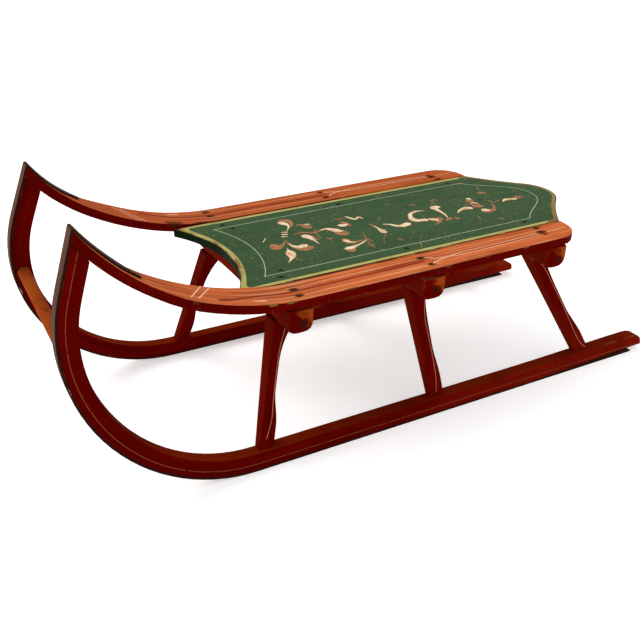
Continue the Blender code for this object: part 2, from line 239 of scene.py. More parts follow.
def railGrain(point):
    # Along the bent rail, out from its inner edge, and down from its top.
    side = abs(point.x) - railInner(point.y)
    at = Vector((point.y, point.z))
    if at[0] >= riseY:
        return Vector((bow["farStart"] + at[0] - riseY, side, rail["top"] + seatLift(at[0]) - at[1]))
    centre, radius = wideCentre, rail["wideRadius"]
    away = centre - at
    slope = math.atan2(away[0], away[1])
    along = radius * (slope + tilt)
    if slope > rail["turn"]:
        centre, radius = tightCentre, tightRadius
        away = centre - at
        slope = math.atan2(away[0], away[1]) - rail["turn"]
        along = rail["wideRadius"] * (rail["turn"] + tilt) + radius * slope
    return Vector((bow["farStart"] - along, side, away.length - radius))


def onRail(across, y, lift=0.0):
    # A place on top of the rail, and the way that it faces there, from a distance across and a place along.
    if y >= riseY:
        return Vector((railInner(y) + across, y, rail["top"] + seatLift(y) + lift)), seatUp.normalized()
    slope = math.asin((wideCentre[0] - y) / rail["wideRadius"])
    up = Vector((0, math.sin(slope), math.cos(slope)))
    top = wideCentre[1] - rail["wideRadius"] * math.cos(slope)
    return Vector((railInner(y) + across, y, top)) + up * lift, up


fasteners = {                # places are across, along and the reach of the dark mark round the head
    "deck": {                # across from the middle
        "size": 0.0037,
        "places": [(0.0885, -0.178, 0.0034), (0.1085, -0.188, 0.0040), (0.1065, 0.028, 0.0040),
                   (0.1065, 0.263, 0.0040)],
    },
    "rail": {                # across from the inner edge
        "size": 0.0043,
        "places": [(0.0248, -0.191, 0.0052), (0.0442, -0.1915, 0.0052), (0.0176, 0.0252, 0.0052),
                   (0.0433, 0.0287, 0.0052), (0.0072, 0.2615, 0.0050), (0.0238, 0.2572, 0.0066)],
    },
    "nail": {"size": 0.0022, "places": [(0.0339, 0.2586, 0.0034)]},
    "runner": {              # along and up, on the outer face
        "size": 0.0017,
        "places": [(-0.2536, 0.0164), (0.4680, 0.0150)],
    },
    "proud": 0.00025,
    "seed": 7,
}

print("shader groups")


class Signal:
    # A node's output that can be reckoned with: a sum or a product adds a Math node to the same tree.
    def __init__(self, socket):
        self.socket = socket
        self.tree = socket.id_data

    def __add__(self, other):
        return calc("ADD", self, other)

    def __sub__(self, other):
        return calc("SUBTRACT", self, other)

    def __rsub__(self, other):
        return calc("SUBTRACT", other, self)

    def __mul__(self, other):
        return calc("MULTIPLY", self, other)

    def __truediv__(self, other):
        return calc("DIVIDE", self, other)

    def __pow__(self, other):
        return calc("POWER", self, other)

    def __abs__(self):
        return calc("ABSOLUTE", self)


def feed(socket, value):
    # A signal is linked, and anything else is set.
    if isinstance(value, Signal):
        value.tree.links.new(value.socket, socket)
    else:
        socket.default_value = value


def addNode(tree, kind, inputs=None, output=0, **properties):
    node = tree.nodes.new(kind)
    for name, value in properties.items():
        setattr(node, name, value)
    for key, value in (inputs or {}).items():
        feed(node.inputs[key], value)
    return Signal(node.outputs[output])


def treeOf(values):
    return next(value.tree for value in values if isinstance(value, Signal))


def calc(operation, *values, clamp=False):
    inputs = dict(enumerate(values))
    return addNode(treeOf(values), "ShaderNodeMath", inputs, operation=operation, use_clamp=clamp)


def largest(*values):
    return calc("MAXIMUM", *values)


def smallest(*values):
    return calc("MINIMUM", *values)


def fade(value, low, high, start=0.0, stop=1.0):
    # Smooth step from start at low to stop at high.
    inputs = dict(enumerate((value, low, high, start, stop)))
    return addNode(value.tree, "ShaderNodeMapRange", inputs, interpolation_type="SMOOTHSTEP")


def between(value, start, stop, softStart, softStop):
    # One between two places, falling to zero inside them.
    return fade(value, start, start + softStart) * fade(value, stop, stop - softStop)


def tint(share, first, second):
    # From the first colour to the second.
    return addNode(share.tree, "ShaderNodeMix", {0: share, 6: first, 7: second}, 2, data_type="RGBA")


def stretch(vector, scale):
    return addNode(vector.tree, "ShaderNodeVectorMath", {0: vector, 1: scale}, operation="MULTIPLY")


def farFrom(vector, place):
    return addNode(vector.tree, "ShaderNodeVectorMath", {0: vector, 1: place}, "Value", operation="DISTANCE")


def join(*axes):
    return addNode(treeOf(axes), "ShaderNodeCombineXYZ", dict(enumerate(axes)))


def split(vector):
    node = addNode(vector.tree, "ShaderNodeSeparateXYZ", {0: vector}).socket.node
    return {axis: Signal(node.outputs[axis]) for axis in "XYZ"}


def cloud(vector, scale, detail=3.0, rough=0.55, warp=0.0):
    inputs = {"Vector": vector, "Scale": scale, "Detail": detail, "Roughness": rough, "Distortion": warp}
    return addNode(vector.tree, "ShaderNodeTexNoise", inputs, "Fac")


def patches(vector, scale, low, high, detail=4.0, rough=0.7):
    # One where a cloud is above high, and zero where it is under low.
    return fade(cloud(vector, scale, detail, rough), low, high)


def fray(vector, scale, amount, detail=4.0, rough=0.7):
    # An uneven offset, half of the amount either way.
    return (cloud(vector, scale, detail, rough) - 0.5) * amount


def startGroup(name, inputs, outputs):
    # Inputs are names with their first values, and None for a vector.
    group = bpy.data.node_groups.new(name, "ShaderNodeTree")
    for label, value in inputs.items():
        kind = "NodeSocketVector" if value is None else "NodeSocketFloat"
        socket = group.interface.new_socket(label, in_out="INPUT", socket_type=kind)
        if value is not None:
            socket.default_value = value
    for label in outputs:
        group.interface.new_socket(label, in_out="OUTPUT", socket_type="NodeSocketFloat")
    return group, readGiven(group)


def readGiven(tree):
    # The tree's own inputs by name. Blender adds a nameless one at their end.
    return {socket.name: Signal(socket) for socket in tree.nodes.new("NodeGroupInput").outputs if socket.name}


def endGroup(group, **results):
    inputs = group.nodes.new("NodeGroupOutput").inputs
    for name, value in results.items():
        feed(inputs[name], value)
    return group


def useGroup(group, **values):
    node = treeOf(values.values()).nodes.new("ShaderNodeGroup")
    node.node_tree = group
    for name, value in values.items():
        feed(node.inputs[name], value)
    return {socket.name: Signal(socket) for socket in node.outputs}


grainLook = {
    "figureStretch": (0.06, 1.0, 1.0),
    "fibreStretch": (0.03, 1.0, 1.0),
    "pores": (0.66, 0.74),
}


def makeGrainGroup(settings):
    # Long fibres and broad figure along the first axis of the grain coordinates.
    group, given = startGroup("wood grain", {"Grain": None, "Figure": 60.0, "Fibre": 700.0},
                              ("Figure", "Fibre", "Pores"))
    figure = cloud(stretch(given["Grain"], settings["figureStretch"]), given["Figure"], 4.0, 0.6, 0.6)
    fibres = cloud(stretch(given["Grain"], settings["fibreStretch"]), given["Fibre"], 2.0, 0.6)
    return endGroup(group, Figure=figure, Fibre=fibres, Pores=fade(fibres, *settings["pores"]))


edgeLook = {
    "crumbs": 420.0,
    "crumbLeast": 0.4,
    "bareFrom": 0.68,         # patch levels, less the amount of wear
    "bareFull": 0.98,
    "soft": 0.0005,
}


def makeEdgeGroup(settings):
    # How near a point is to the nearest edge of its bar, broken up by noise.
    inputs = {"Grain": None, "Span": None, "Place": None, "Reach": 0.003, "Patch": 22.0, "Amount": 0.5}
    group, given = startGroup("edge wear", inputs, ("Mask", "Distance"))
    at, full = split(given["Grain"]), split(given["Span"])
    ends, sides, faces = [smallest(at[axis], full[axis] - at[axis]) for axis in "XYZ"]
    near = largest(smallest(sides, faces), smallest(largest(sides, faces), ends))
    crumbs = cloud(given["Place"], settings["crumbs"], 3.0, 0.7)
    bare = fade(cloud(given["Place"], given["Patch"], 4.0, 0.65),
                settings["bareFrom"] - given["Amount"], settings["bareFull"] - given["Amount"])
    reach = given["Reach"] * (bare * (crumbs + settings["crumbLeast"]))
    return endGroup(group, Mask=fade(reach - near, 0.0, settings["soft"]), Distance=near)


chipLook = {
    "spread": 14.0,
    "flakeStretch": (0.45, 1.0, 1.0),
    "flakeLevel": 0.83,
    "flakeSoft": 0.02,
    "scratchStretch": (0.12, 1.5, 1.0),
    "scratches": 260.0,
    "scratchHalf": 0.004,     # share of the noise that a scratch takes
    "scratchSpread": (0.58, 0.7),
}


def makeChipGroup(settings):
    # Small flakes of lost paint, longer along the grain, and thin scratches.
    group, given = startGroup("chips and scratches", {"Grain": None, "Density": 0.3, "Size": 150.0},
                              ("Chips", "Scratches"))
    spread = cloud(given["Grain"], settings["spread"], 3.0, 0.6)
    flakes = cloud(stretch(given["Grain"], settings["flakeStretch"]), given["Size"], 5.0, 0.7, 0.4)
    level = settings["flakeLevel"] - given["Density"] * spread
    lines = cloud(stretch(given["Grain"], settings["scratchStretch"]), settings["scratches"], 2.0, 0.5, 1.6)
    thin = fade(abs(lines - 0.5), settings["scratchHalf"], 0.0)
    return endGroup(group, Chips=fade(flakes, level, level + settings["flakeSoft"]),
                    Scratches=thin * fade(spread, *settings["scratchSpread"]))


lineLook = {
    "wobbleScale": 60.0,
    "wobble": 0.0006,
    "soft": 0.00015,
    "gaps": 180.0,
    "gapFrom": 0.92,          # levels of the gaps, less the wear
    "gapFull": 1.0,
}


def makeLineGroup(settings):
    # A painted line where a value is near its centre, thinned and broken by wear.
    inputs = {"Value": 0.0, "Centre": 0.0, "Half": 0.0007, "Place": None, "Wear": 0.3}
    group, given = startGroup("painted line", inputs, ("Mask",))
    wobble = fray(given["Place"], settings["wobbleScale"], settings["wobble"], 2.0, 0.55)
    away = abs(given["Value"] - given["Centre"] + wobble)
    line = fade(away, given["Half"] + settings["soft"], given["Half"] - settings["soft"])
    gaps = fade(cloud(given["Place"], settings["gaps"], 4.0, 0.7),
                settings["gapFrom"] - given["Wear"], settings["gapFull"] - given["Wear"], 1.0, 0.0)
    return endGroup(group, Mask=line * gaps)


def makeGrimeGroup():
    # Broad uneven darkening and fine mottling.
    group, given = startGroup("grime", {"Place": None, "Broad": 9.0, "Fine": 120.0}, ("Broad", "Fine"))
    return endGroup(group, Broad=patches(given["Place"], given["Broad"], 0.35, 0.7, 4.0, 0.6),
                    Fine=cloud(given["Place"], given["Fine"], 4.0, 0.65))


grainGroup = makeGrainGroup(grainLook)
edgeGroup = makeEdgeGroup(edgeLook)
chipGroup = makeChipGroup(chipLook)
lineGroup = makeLineGroup(lineLook)
grimeGroup = makeGrimeGroup()

print("materials")


def startMaterial(name, settings):
    material = bpy.data.materials.new(name)
    material.use_nodes = True
    shader = material.node_tree.nodes["Principled BSDF"]
    shader.inputs["Specular IOR Level"].default_value = settings["gloss"]
    return material, shader


def readAttribute(shader, name, output="Vector"):
    return addNode(shader.id_data, "ShaderNodeAttribute", output=output, attribute_name=name)


def readPlace(shader):
    return addNode(shader.id_data, "ShaderNodeTexCoord", output="Object")


def readFacing(shader):
    return split(addNode(shader.id_data, "ShaderNodeTexCoord", output="Normal"))


def finishPaint(material, shader, settings, **inputs):
    # The colour and the rest go to the shader, and the height through a bump node.
    depth, strength = settings["bump"]
    bump = {"Strength": strength, "Distance": depth, "Height": inputs.pop("height")}
    feed(shader.inputs["Normal"], addNode(shader.id_data, "ShaderNodeBump", bump))
    feed(shader.inputs["Base Color"], inputs.pop("colour"))
    for name, value in inputs.items():
        feed(shader.inputs[name], value)
    return material


def startWood(shader, settings, grain, place):
    # The grain, the grime and the chips that every painted wood has.
    wood = useGroup(grainGroup, Grain=grain, **settings["grain"])
    grime = useGroup(grimeGroup, Place=place, **settings["grime"])
    return wood, grime, useGroup(chipGroup, Grain=grain, **settings["chips"])


def finishWood(material, shader, settings, colour, wood, grime, lost, raised=None):
    # Duller where paint is lost, with the fibres and the figure standing out a little.
    fibre, figure, sunk = settings["relief"]
    height = wood["Fibre"] * fibre + wood["Figure"] * figure
    if raised:
        height = height + raised
    dull = fade(grime["Fine"], 0.2, 0.8, *settings["roughness"]) + lost * settings["lostRoughness"]
    return finishPaint(material, shader, settings, colour=colour, Roughness=dull, height=height - lost * sunk)


markLook = {"along": 0.6, "frayScale": 240.0, "fray": 0.006, "soft": 0.0012}


def nearMark(place, marks, settings):
    # Above zero near any of the marks (across, along, reach), which lie alike on both sides.
    at = split(place)
    flat = join(abs(at["X"]), at["Y"] * settings["along"])
    best = -1.0
    for across, along, reach in marks:
        best = largest(best, reach - farFrom(flat, (across, along * settings["along"], 0)))
    return fade(best + fray(place, settings["frayScale"], settings["fray"]), 0.0, settings["soft"])


redPaint = {
    "gloss": 0.001,
    "deep": (0.110, 0.0012, 0.0004, 1),
    "deepDark": (0.060, 0.0006, 0.0003, 1),
    "lit": (0.18, 0.0145, 0.0012, 1),      # on the upward and forward faces
    "litAmount": 1.0,
    "brightLowRed": (0.235, 0.012, 0.003, 1),     # brighter towards the rear, where it is low down
    "brightLowAlong": (-0.15, 0.40),
    "brightLowUp": (0.14, 0.03),
    "wood": (0.30, 0.085, 0.02, 1),        # rubbed through at the edges
    "dirt": (0.022, 0.006, 0.003, 1),
    "line": (0.21, 0.052, 0.021, 1),
    "grain": {"Figure": 70.0, "Fibre": 900.0},
    "grime": {},
    "edgeWear": {"Reach": 0.0016, "Amount": 0.22},
    "chips": {"Density": 0.22, "Size": 170.0},
    "smudgeStretch": (0.3, 1.0, 1.0),
    "smudge": (75.0, 0.60, 0.68, 5.0),     # patches are scale, from and full, then detail and roughness
    "smudgeSpread": (9.0, 0.46, 0.60, 2.0, 0.5),
    "stripe": None,
    "ends": None,
    "rings": [],                           # across, half width and colour
    "ringSoft": 0.0005,
    "ringFray": 0.0012,
    "roughness": (0.36, 0.62),
    "lostRoughness": 0.15,
    "relief": (0.25, 0.5, 0.6),            # of the fibres, the figure and the lost paint
    "bump": (0.0006, 0.5),                 # depth and strength
}
runnerStripe = {
    "depth": 0.0098,                       # in from the strap
    "half": 0.0005,
    "wear": 0.36,
    "from": bow["farStart"] - 0.52,
    "to": bow["farStart"] + 0.80,
    "soft": 0.004,
    "outerFace": (0.0012, 0.0006),
    "seam": (0.0026, 0.0008),
    "seamFray": 0.0012,
}
beamEnds = {
    "colour": (0.36, 0.062, 0.010, 1),
    "amount": 0.7,
    "slope": (0.9, 0.6),                   # how much more is rubbed to the rear and to the top
    "rubbed": (0.78, 1.20),
    "frayScale": 120.0,
    "fray": 0.9,
    "check": (0.60, 0.42),                 # shares of the end's width and height
    "checkReach": (0.24, 0.10),
    "checkFrayScale": 260.0,
    "checkFray": 0.35,
}


def addStripe(colour, stripe, settings, at, place, grime):
    # A pinstripe on the outer face, and dirt beside the strap.
    line = useGroup(lineGroup, Value=at["Z"], Centre=stripe["depth"], Half=stripe["half"], Place=place,
                    Wear=stripe["wear"])
    run = between(at["X"], stripe["from"], stripe["to"], stripe["soft"], stripe["soft"])
    colour = tint(line["Mask"] * fade(at["Y"], *stripe["outerFace"]) * run, colour, settings["line"])
    seam = fade(at["Z"] + grime["Fine"] * stripe["seamFray"], *stripe["seam"])
    return tint(seam * 0.85, colour, settings["dirt"])


def rubEnds(colour, ends, settings, at, full, place, facing):
    # Ends rubbed orange towards the top and the rear, with a dark check in the middle.
    end = fade(abs(facing["X"]), 0.45, 0.85)
    back, high = at["Y"] / full["Y"], at["Z"] / full["Z"]
    slant = back * ends["slope"][0] + high * ends["slope"][1]
    slant = slant + fray(place, ends["frayScale"], ends["fray"], rough=0.6)
    colour = tint(end * fade(slant, *ends["rubbed"]) * ends["amount"], colour, ends["colour"])
    away = calc("SQRT", (back - ends["check"][0]) ** 2.0 + (high - ends["check"][1]) ** 2.0)
    away = away + fray(place, ends["checkFrayScale"], ends["checkFray"], 3.0, 0.6)
    return tint(end * fade(away, *ends["checkReach"]) * 0.8, colour, settings["dirt"])


def makeRedPaint(name, settings):
    material, shader = startMaterial(name, settings)
    grain, span, place = readAttribute(shader, "grain"), readAttribute(shader, "span"), readPlace(shader)
    at, full, spot, facing = split(grain), split(span), split(place), readFacing(shader)
    wood, grime, chips = startWood(shader, settings, grain, place)
    edge = useGroup(edgeGroup, Grain=grain, Span=span, Place=place, **settings["edgeWear"])
    colour = tint(fade(wood["Figure"], 0.35, 0.75), settings["deep"], settings["deepDark"])
    low = fade(spot["Y"], *settings["brightLowAlong"]) * fade(spot["Z"], *settings["brightLowUp"])
    colour = tint(low * (grime["Fine"] * 0.6 + 0.25), colour, settings["brightLowRed"])
    lit = largest(fade(facing["Z"], 0.35, 0.85), fade(facing["Y"] * -1.0, 0.35, 0.85)) * settings["litAmount"]
    colour = tint(calc("MULTIPLY", lit, grime["Fine"] + 0.45, clamp=True), colour, settings["lit"])
    colour = tint(grime["Broad"] * 0.45, colour, settings["deepDark"])
    smudge = patches(stretch(grain, settings["smudgeStretch"]), *settings["smudge"])
    smudge = smudge * patches(place, *settings["smudgeSpread"])
    colour = tint(smudge * 0.65, colour, settings["dirt"])
    if settings["stripe"]:
        colour = addStripe(colour, settings["stripe"], settings, at, place, grime)
    if settings["ends"]:
        colour = rubEnds(colour, settings["ends"], settings, at, full, place, facing)
    for middle, half, shade in settings["rings"]:
        away = abs(spot["X"] - middle) + (grime["Fine"] - 0.5) * settings["ringFray"]
        ring = fade(away, half + settings["ringSoft"], half - settings["ringSoft"], 0.0, 0.8)
        colour = tint(ring, colour, settings[shade])
    lost = largest(edge["Mask"], chips["Chips"] * 0.7)
    colour = tint(lost * 0.8, colour, tint(wood["Fibre"], settings["wood"], settings["dirt"]))
    return finishWood(material, shader, settings, colour, wood, grime, lost)


railPaint = {
    "gloss": 0.002,
    "bright": (0.66, 0.165, 0.052, 1),
    "worn": (0.45, 0.086, 0.022, 1),
    "sideRed": (0.112, 0.0016, 0.0004, 1),
    "dim": (0.36, 0.066, 0.012, 1),        # the right rail has darkened more
    "dimAcross": (0.05, -0.05),
    "olive": (0.16, 0.085, 0.018, 1),
    "bareWood": (0.24, 0.13, 0.030, 1),
    # dark marks and dirt, and the painted shadow in the gap beside the deck
    "shade": (0.045, 0.010, 0.003, 1),
    "cream": (0.84, 0.46, 0.25, 1),
    "maroon": (0.18, 0.024, 0.018, 1),
    "dirtyGrain": (0.10, 0.018, 0.006, 1),
    "bandStretch": (0.02, 1.0, 1.0),       # long dark and pale lines in the grain
    "bands": 260.0,
    "spotAlong": 0.35,
    "spotFrayScale": 150.0,
    "spots": [                             # place, reach and colour
        ((0.1862, -0.236, 0.2620), 0.0026, "bareWood"),
        ((0.1862, -0.210, 0.2605), 0.0030, "bareWood"),
        ((0.1862, 0.196, 0.2630), 0.0022, "bareWood"),
        ((-0.1330, -0.262, 0.2660), 0.0075, "shade"),
        ((-0.1300, -0.215, 0.2590), 0.0050, "shade"),
        ((-0.1850, -0.150, 0.2550), 0.0040, "shade"),
    ],
    "marks": [(rail["inner"] + across, y, reach) for kind in ("rail", "nail")
              for across, y, reach in fasteners[kind]["places"]],
    "creamLines": [(0.0185, -0.206), (0.0440, -0.258)],      # across from the inner edge, and its start
    "creamHalf": 0.0006,
    "creamSoft": (0.010, 0.004),           # how far a line fades in and out
    "lineWear": 0.30,
    "centre": 0.0300,                      # the dark stripe, across from the inner edge
    "centreHalf": 0.0022,
    "stripeFrom": -0.311,                  # where it swells and bends outwards by stripeBend
    "stripeTip": 0.007,
    "stripeSwell": (0.050, 0.012),
    "stripeBend": 0.013,
    "stripeBendRun": 0.070,
    "stripeTo": 0.022,
    "stripeSoft": (0.002, 0.008),
    "stain": (34.0, 0.60, 0.68),
    "stainReach": (0.007, 0.001),
    "seam": (70.0, 0.34, 0.54),
    "seamReach": (0.0013, 0.0003),
    "deckGapShadow": (13.0, 0.30, 0.46, 3.0, 0.6),      # painted shadow in the gap beside the deck
    "deckGapShadowReach": (0.0056, 0.0038),
    "deckGapShadowFrom": (-0.238, -0.215),
    "deckGapShadowTo": (0.12, 0.05),
    "grain": {"Figure": 55.0, "Fibre": 800.0},
    "grime": {},
    "edgeWear": {"Reach": 0.0030, "Amount": 0.20},
    "chips": {"Density": 0.26, "Size": 150.0},
    "roughness": (0.4, 0.62),
    "lostRoughness": 0.15,
    "relief": (0.35, 0.5, 0.6),
    "bump": (0.0006, 0.55),
}


def stripeRail(top, settings, at, y, place):
    # Two cream lines, and between them a dark stripe with a swollen, bent tip.
    for centre, start in settings["creamLines"]:
        line = useGroup(lineGroup, Value=at["Y"], Centre=centre, Half=settings["creamHalf"], Place=place,
                        Wear=settings["lineWear"])
        run = between(y, start, settings["stripeTo"], *settings["creamSoft"])
        top = tint(line["Mask"] * run * 0.85, top, settings["cream"])
    start = settings["stripeFrom"]
    swell = fade(y, *[start + step for step in settings["stripeSwell"]], 0.0, 0.7) + 1.0
    half = fade(y, start, start + settings["stripeTip"]) * settings["centreHalf"] * swell
    bent = at["Y"] - fade(y, start + settings["stripeBendRun"], start, 0.0, settings["stripeBend"])
    line = useGroup(lineGroup, Value=bent, Centre=settings["centre"], Half=half, Place=place,
                    Wear=settings["lineWear"])
    soft = settings["stripeSoft"]
    run = between(y, start, settings["stripeTo"] + soft[1], *soft)
    return tint(line["Mask"] * run * 0.85, top, settings["maroon"])


def makeRailPaint(name, settings):
    material, shader = startMaterial(name, settings)
    grain, span, place = readAttribute(shader, "grain"), readAttribute(shader, "span"), readPlace(shader)
    at, spot, facing = split(grain), split(place), readFacing(shader)
    wood, grime, chips = startWood(shader, settings, grain, place)
    edge = useGroup(edgeGroup, Grain=grain, Span=span, Place=place, **settings["edgeWear"])
    top = tint(fade(wood["Figure"], 0.32, 0.72), settings["bright"], settings["worn"])
    top = tint(fade(wood["Fibre"], 0.45, 0.75, 0.0, 0.55), top, settings["worn"])
    bands = cloud(stretch(grain, settings["bandStretch"]), settings["bands"], 3.0, 0.6)
    top = tint(fade(bands, 0.55, 0.66, 0.0, 0.75), top, settings["dirtyGrain"])
    top = tint(fade(bands, 0.45, 0.34, 0.0, 0.45), top, settings["cream"])
    top = tint(fade(spot["X"], *settings["dimAcross"], 0.0, 0.55), top, settings["dim"])
    top = stripeRail(top, settings, at, spot["Y"], place)
    upward = fade(facing["Z"], 0.45, 0.75)
    side = tint(fade(wood["Figure"], 0.3, 0.7), settings["sideRed"], redPaint["deepDark"])
    colour = tint(upward, side, top)
    stain = patches(place, *settings["stain"]) * fade(edge["Distance"], *settings["stainReach"])
    colour = tint(stain * 0.40, colour, settings["olive"])
    squash = settings["spotAlong"]
    flat = stretch(place, (1.0, squash, 1.0))
    for (x, y, z), reach, shade in settings["spots"]:
        away = farFrom(flat, (x, y * squash, z)) + fray(place, settings["spotFrayScale"], reach * 1.6)
        colour = tint(fade(away, reach, reach * 0.8, 0.0, 0.75), colour, settings[shade])
    seam = fade(edge["Distance"], *settings["seamReach"], 0.0, 0.6) * patches(place, *settings["seam"])
    # Painted shadow: the rail's top is darkened along its inner edge, in the gap beside the deck.
    beside = fade(spot["Y"], *settings["deckGapShadowFrom"]) * fade(spot["Y"], *settings["deckGapShadowTo"], 0.35, 1.0)
    beside = beside * fade(at["Y"], *settings["deckGapShadowReach"]) * patches(place, *settings["deckGapShadow"])
    dark = largest(largest(seam, beside) * upward, nearMark(place, settings["marks"], markLook) * 0.85)
    colour = tint(dark * 0.9, colour, settings["shade"])
    lost = largest(edge["Mask"], chips["Chips"] * 0.8)
    colour = tint(lost * 0.8, colour, tint(wood["Fibre"], settings["olive"], redPaint["dirt"]))
    colour = tint(wood["Pores"] * 0.3, colour, redPaint["dirt"])
    colour = tint(grime["Broad"] * 0.16, colour, settings["sideRed"])
    return finishWood(material, shader, settings, colour, wood, grime, lost)


deckPaint = {
    "gloss": 0.02,
    "green": (0.042, 0.088, 0.035, 1),
    "greenDeep": (0.029, 0.070, 0.026, 1),
    "greenPale": (0.066, 0.115, 0.052, 1),
    "edge": (0.003, 0.010, 0.002, 1),
    "yellow": (0.46, 0.41, 0.13, 1),
    "yellowDull": (0.30, 0.20, 0.065, 1),
    "wood": (0.30, 0.155, 0.065, 1),
    "woodDark": (0.11, 0.050, 0.020, 1),
    "under": (0.20, 0.115, 0.055, 1),
    "fleck": (0.27, 0.21, 0.095, 1),
    "shade": (0.020, 0.016, 0.006, 1),
    "border": 0.0084,                      # widths of the yellow border along the sides, front and rear
    "borderFront": 0.0108,
    "borderRear": 0.0078,
    "borderWear": 0.26,
    "frontFrom": (-0.235, -0.250),
    "rearFrom": (0.294, 0.304),
    "frontWear": (-0.150, -0.215),
    "dull": (26.0, 0.42, 0.62),
    "rub": 48.0,
    "rubReach": 0.004,                     # how far paint is rubbed in from the rim
    "rubEnds": 0.014,                      # and how much more at the ends
    "rubSoft": 0.0012,
    "rubPatch": (18.0, 0.45, 0.6, 3.0, 0.6),
    "seam": (16.0, 0.34, 0.50),
    "seamReach": (0.0022, 0.0012),
    "fleckStretch": (0.7, 1.0, 1.0),
    "flecks": (300.0, 0.605, 0.650, 3.0, 0.65),
    "fleckSpread": (24.0, 0.36, 0.54, 3.0, 0.6),
    "smudgeAlong": 0.6,
    "smudgeSoft": 0.002,
    "smudgeFray": 0.006,
    "smudgeFrayScale": 200.0,
    "smudges": [(-0.010, 0.262, 0.003), (0.092, 0.234, 0.002), (0.076, 0.243, 0.001), (-0.085, 0.300, 0.001)],
    "marks": fasteners["deck"]["places"],
    "drip": 0.030,                         # how far green paint ran in under the board
    "dripScale": 30.0,
    "dripSoft": 0.002,
    "grain": {"Figure": 40.0, "Fibre": 700.0},
    "grime": {"Broad": 7.0},
    "chips": {"Density": 0.30, "Size": 150.0},
    "roughness": (0.42, 0.66),
    "lostRoughness": 0.15,
    "relief": (0.3, 0.6, 0.8),
    "bump": (0.0006, 0.5),
}


def makeDeckPaint(name, settings):
    material, shader = startMaterial(name, settings)
    place, rim = readPlace(shader), readAttribute(shader, "rim", "Fac")
    facing, spot = readFacing(shader), split(place)
    grain = join(spot["Y"], spot["X"], spot["Z"])        # along the board
    wood, grime, chips = startWood(shader, settings, grain, place)
    top = tint(fade(wood["Figure"], 0.3, 0.7), settings["green"], settings["greenDeep"])
    top = tint(wood["Fibre"] * 0.35, top, settings["greenPale"])
    top = tint(grime["Broad"] * 0.35, top, settings["greenDeep"])
    rearward = fade(spot["Y"], *settings["rearFrom"])
    width = rearward * (settings["borderRear"] - settings["border"]) + settings["border"]
    width = width + fade(spot["Y"], *settings["frontFrom"], 0.0, settings["borderFront"] - settings["border"])
    line = useGroup(lineGroup, Value=rim, Centre=0.0, Half=width, Place=place, Wear=settings["borderWear"])
    band = line["Mask"]
    dull = largest(patches(place, *settings["dull"]) * 0.3, rearward * 0.75)
    top = tint(band, top, tint(dull, settings["yellow"], settings["yellowDull"]))
    ends = largest(rearward, fade(spot["Y"], *settings["frontWear"]) * 0.8)
    reach = cloud(place, settings["rub"], 5.0, 0.7) * (ends * settings["rubEnds"] + settings["rubReach"])
    rubbed = fade(reach - rim, 0.0, settings["rubSoft"])
    rubbed = rubbed * largest(patches(place, *settings["rubPatch"]), rearward * 0.6)
    lost = largest(largest(rubbed, chips["Chips"] * 0.85), chips["Scratches"] * 0.55)
    top = tint(lost * 0.8, top, tint(wood["Figure"], settings["wood"], settings["woodDark"]))
    seam = fade(rim, *settings["seamReach"]) * patches(place, *settings["seam"])
    dark = largest(seam, nearMark(place, settings["marks"], markLook) * 0.85)
    top = tint(dark * 0.9, top, settings["shade"])
    flecks = patches(stretch(grain, settings["fleckStretch"]), *settings["flecks"])
    flecks = flecks * patches(place, *settings["fleckSpread"])
    top = tint(flecks * 0.8, top, settings["fleck"])
    squash, soft = settings["smudgeAlong"], settings["smudgeSoft"]
    flat = stretch(place, (1.0, squash, 0.0))
    for across, along, reach in settings["smudges"]:
        away = farFrom(flat, (across, along * squash, 0))
        away = away + fray(place, settings["smudgeFrayScale"], settings["smudgeFray"])
        top = tint(fade(away, reach + soft, reach - soft, 0.0, 0.75), top, settings["shade"])
    colour = tint(fade(facing["Z"], 0.35, 0.7), settings["edge"], top)
    raw = tint(fade(wood["Figure"], 0.3, 0.7), settings["under"], settings["woodDark"])
    run = cloud(place, settings["dripScale"], 3.0, 0.6) * settings["drip"] - rim
    below = tint(fade(run, 0.0, settings["dripSoft"]), raw, settings["edge"])
    colour = tint(fade(facing["Z"], -0.6, -0.9), colour, below)
    return finishWood(material, shader, settings, colour, wood, grime, lost, raised=band * 0.4)


shoeIron = {
    "gloss": 0.02,
    "brown": (0.088, 0.033, 0.017, 1),
    "dark": (0.022, 0.010, 0.006, 1),
    "rust": (0.140, 0.046, 0.018, 1),
    "bright": (0.30, 0.25, 0.22, 1),
    "grime": {"Broad": 16.0, "Fine": 260.0},
    "pits": (900.0, 0.6, 0.7, 3.0),
    "polish": 0.8,
    "width": bow["width"],                 # dark along the strap's edges, where it is set
    "rim": (0.0026, 0.0004),
    "rimFray": 0.003,
    "roughness": (0.42, 0.7),
    "bump": (0.0004, 0.6),
}
screwIron = {
    **shoeIron,
    "brown": (0.020, 0.010, 0.006, 1),
    "dark": (0.006, 0.003, 0.002, 1),
    "rust": (0.045, 0.016, 0.007, 1),
    "polish": 0.0,
    "width": None,
}


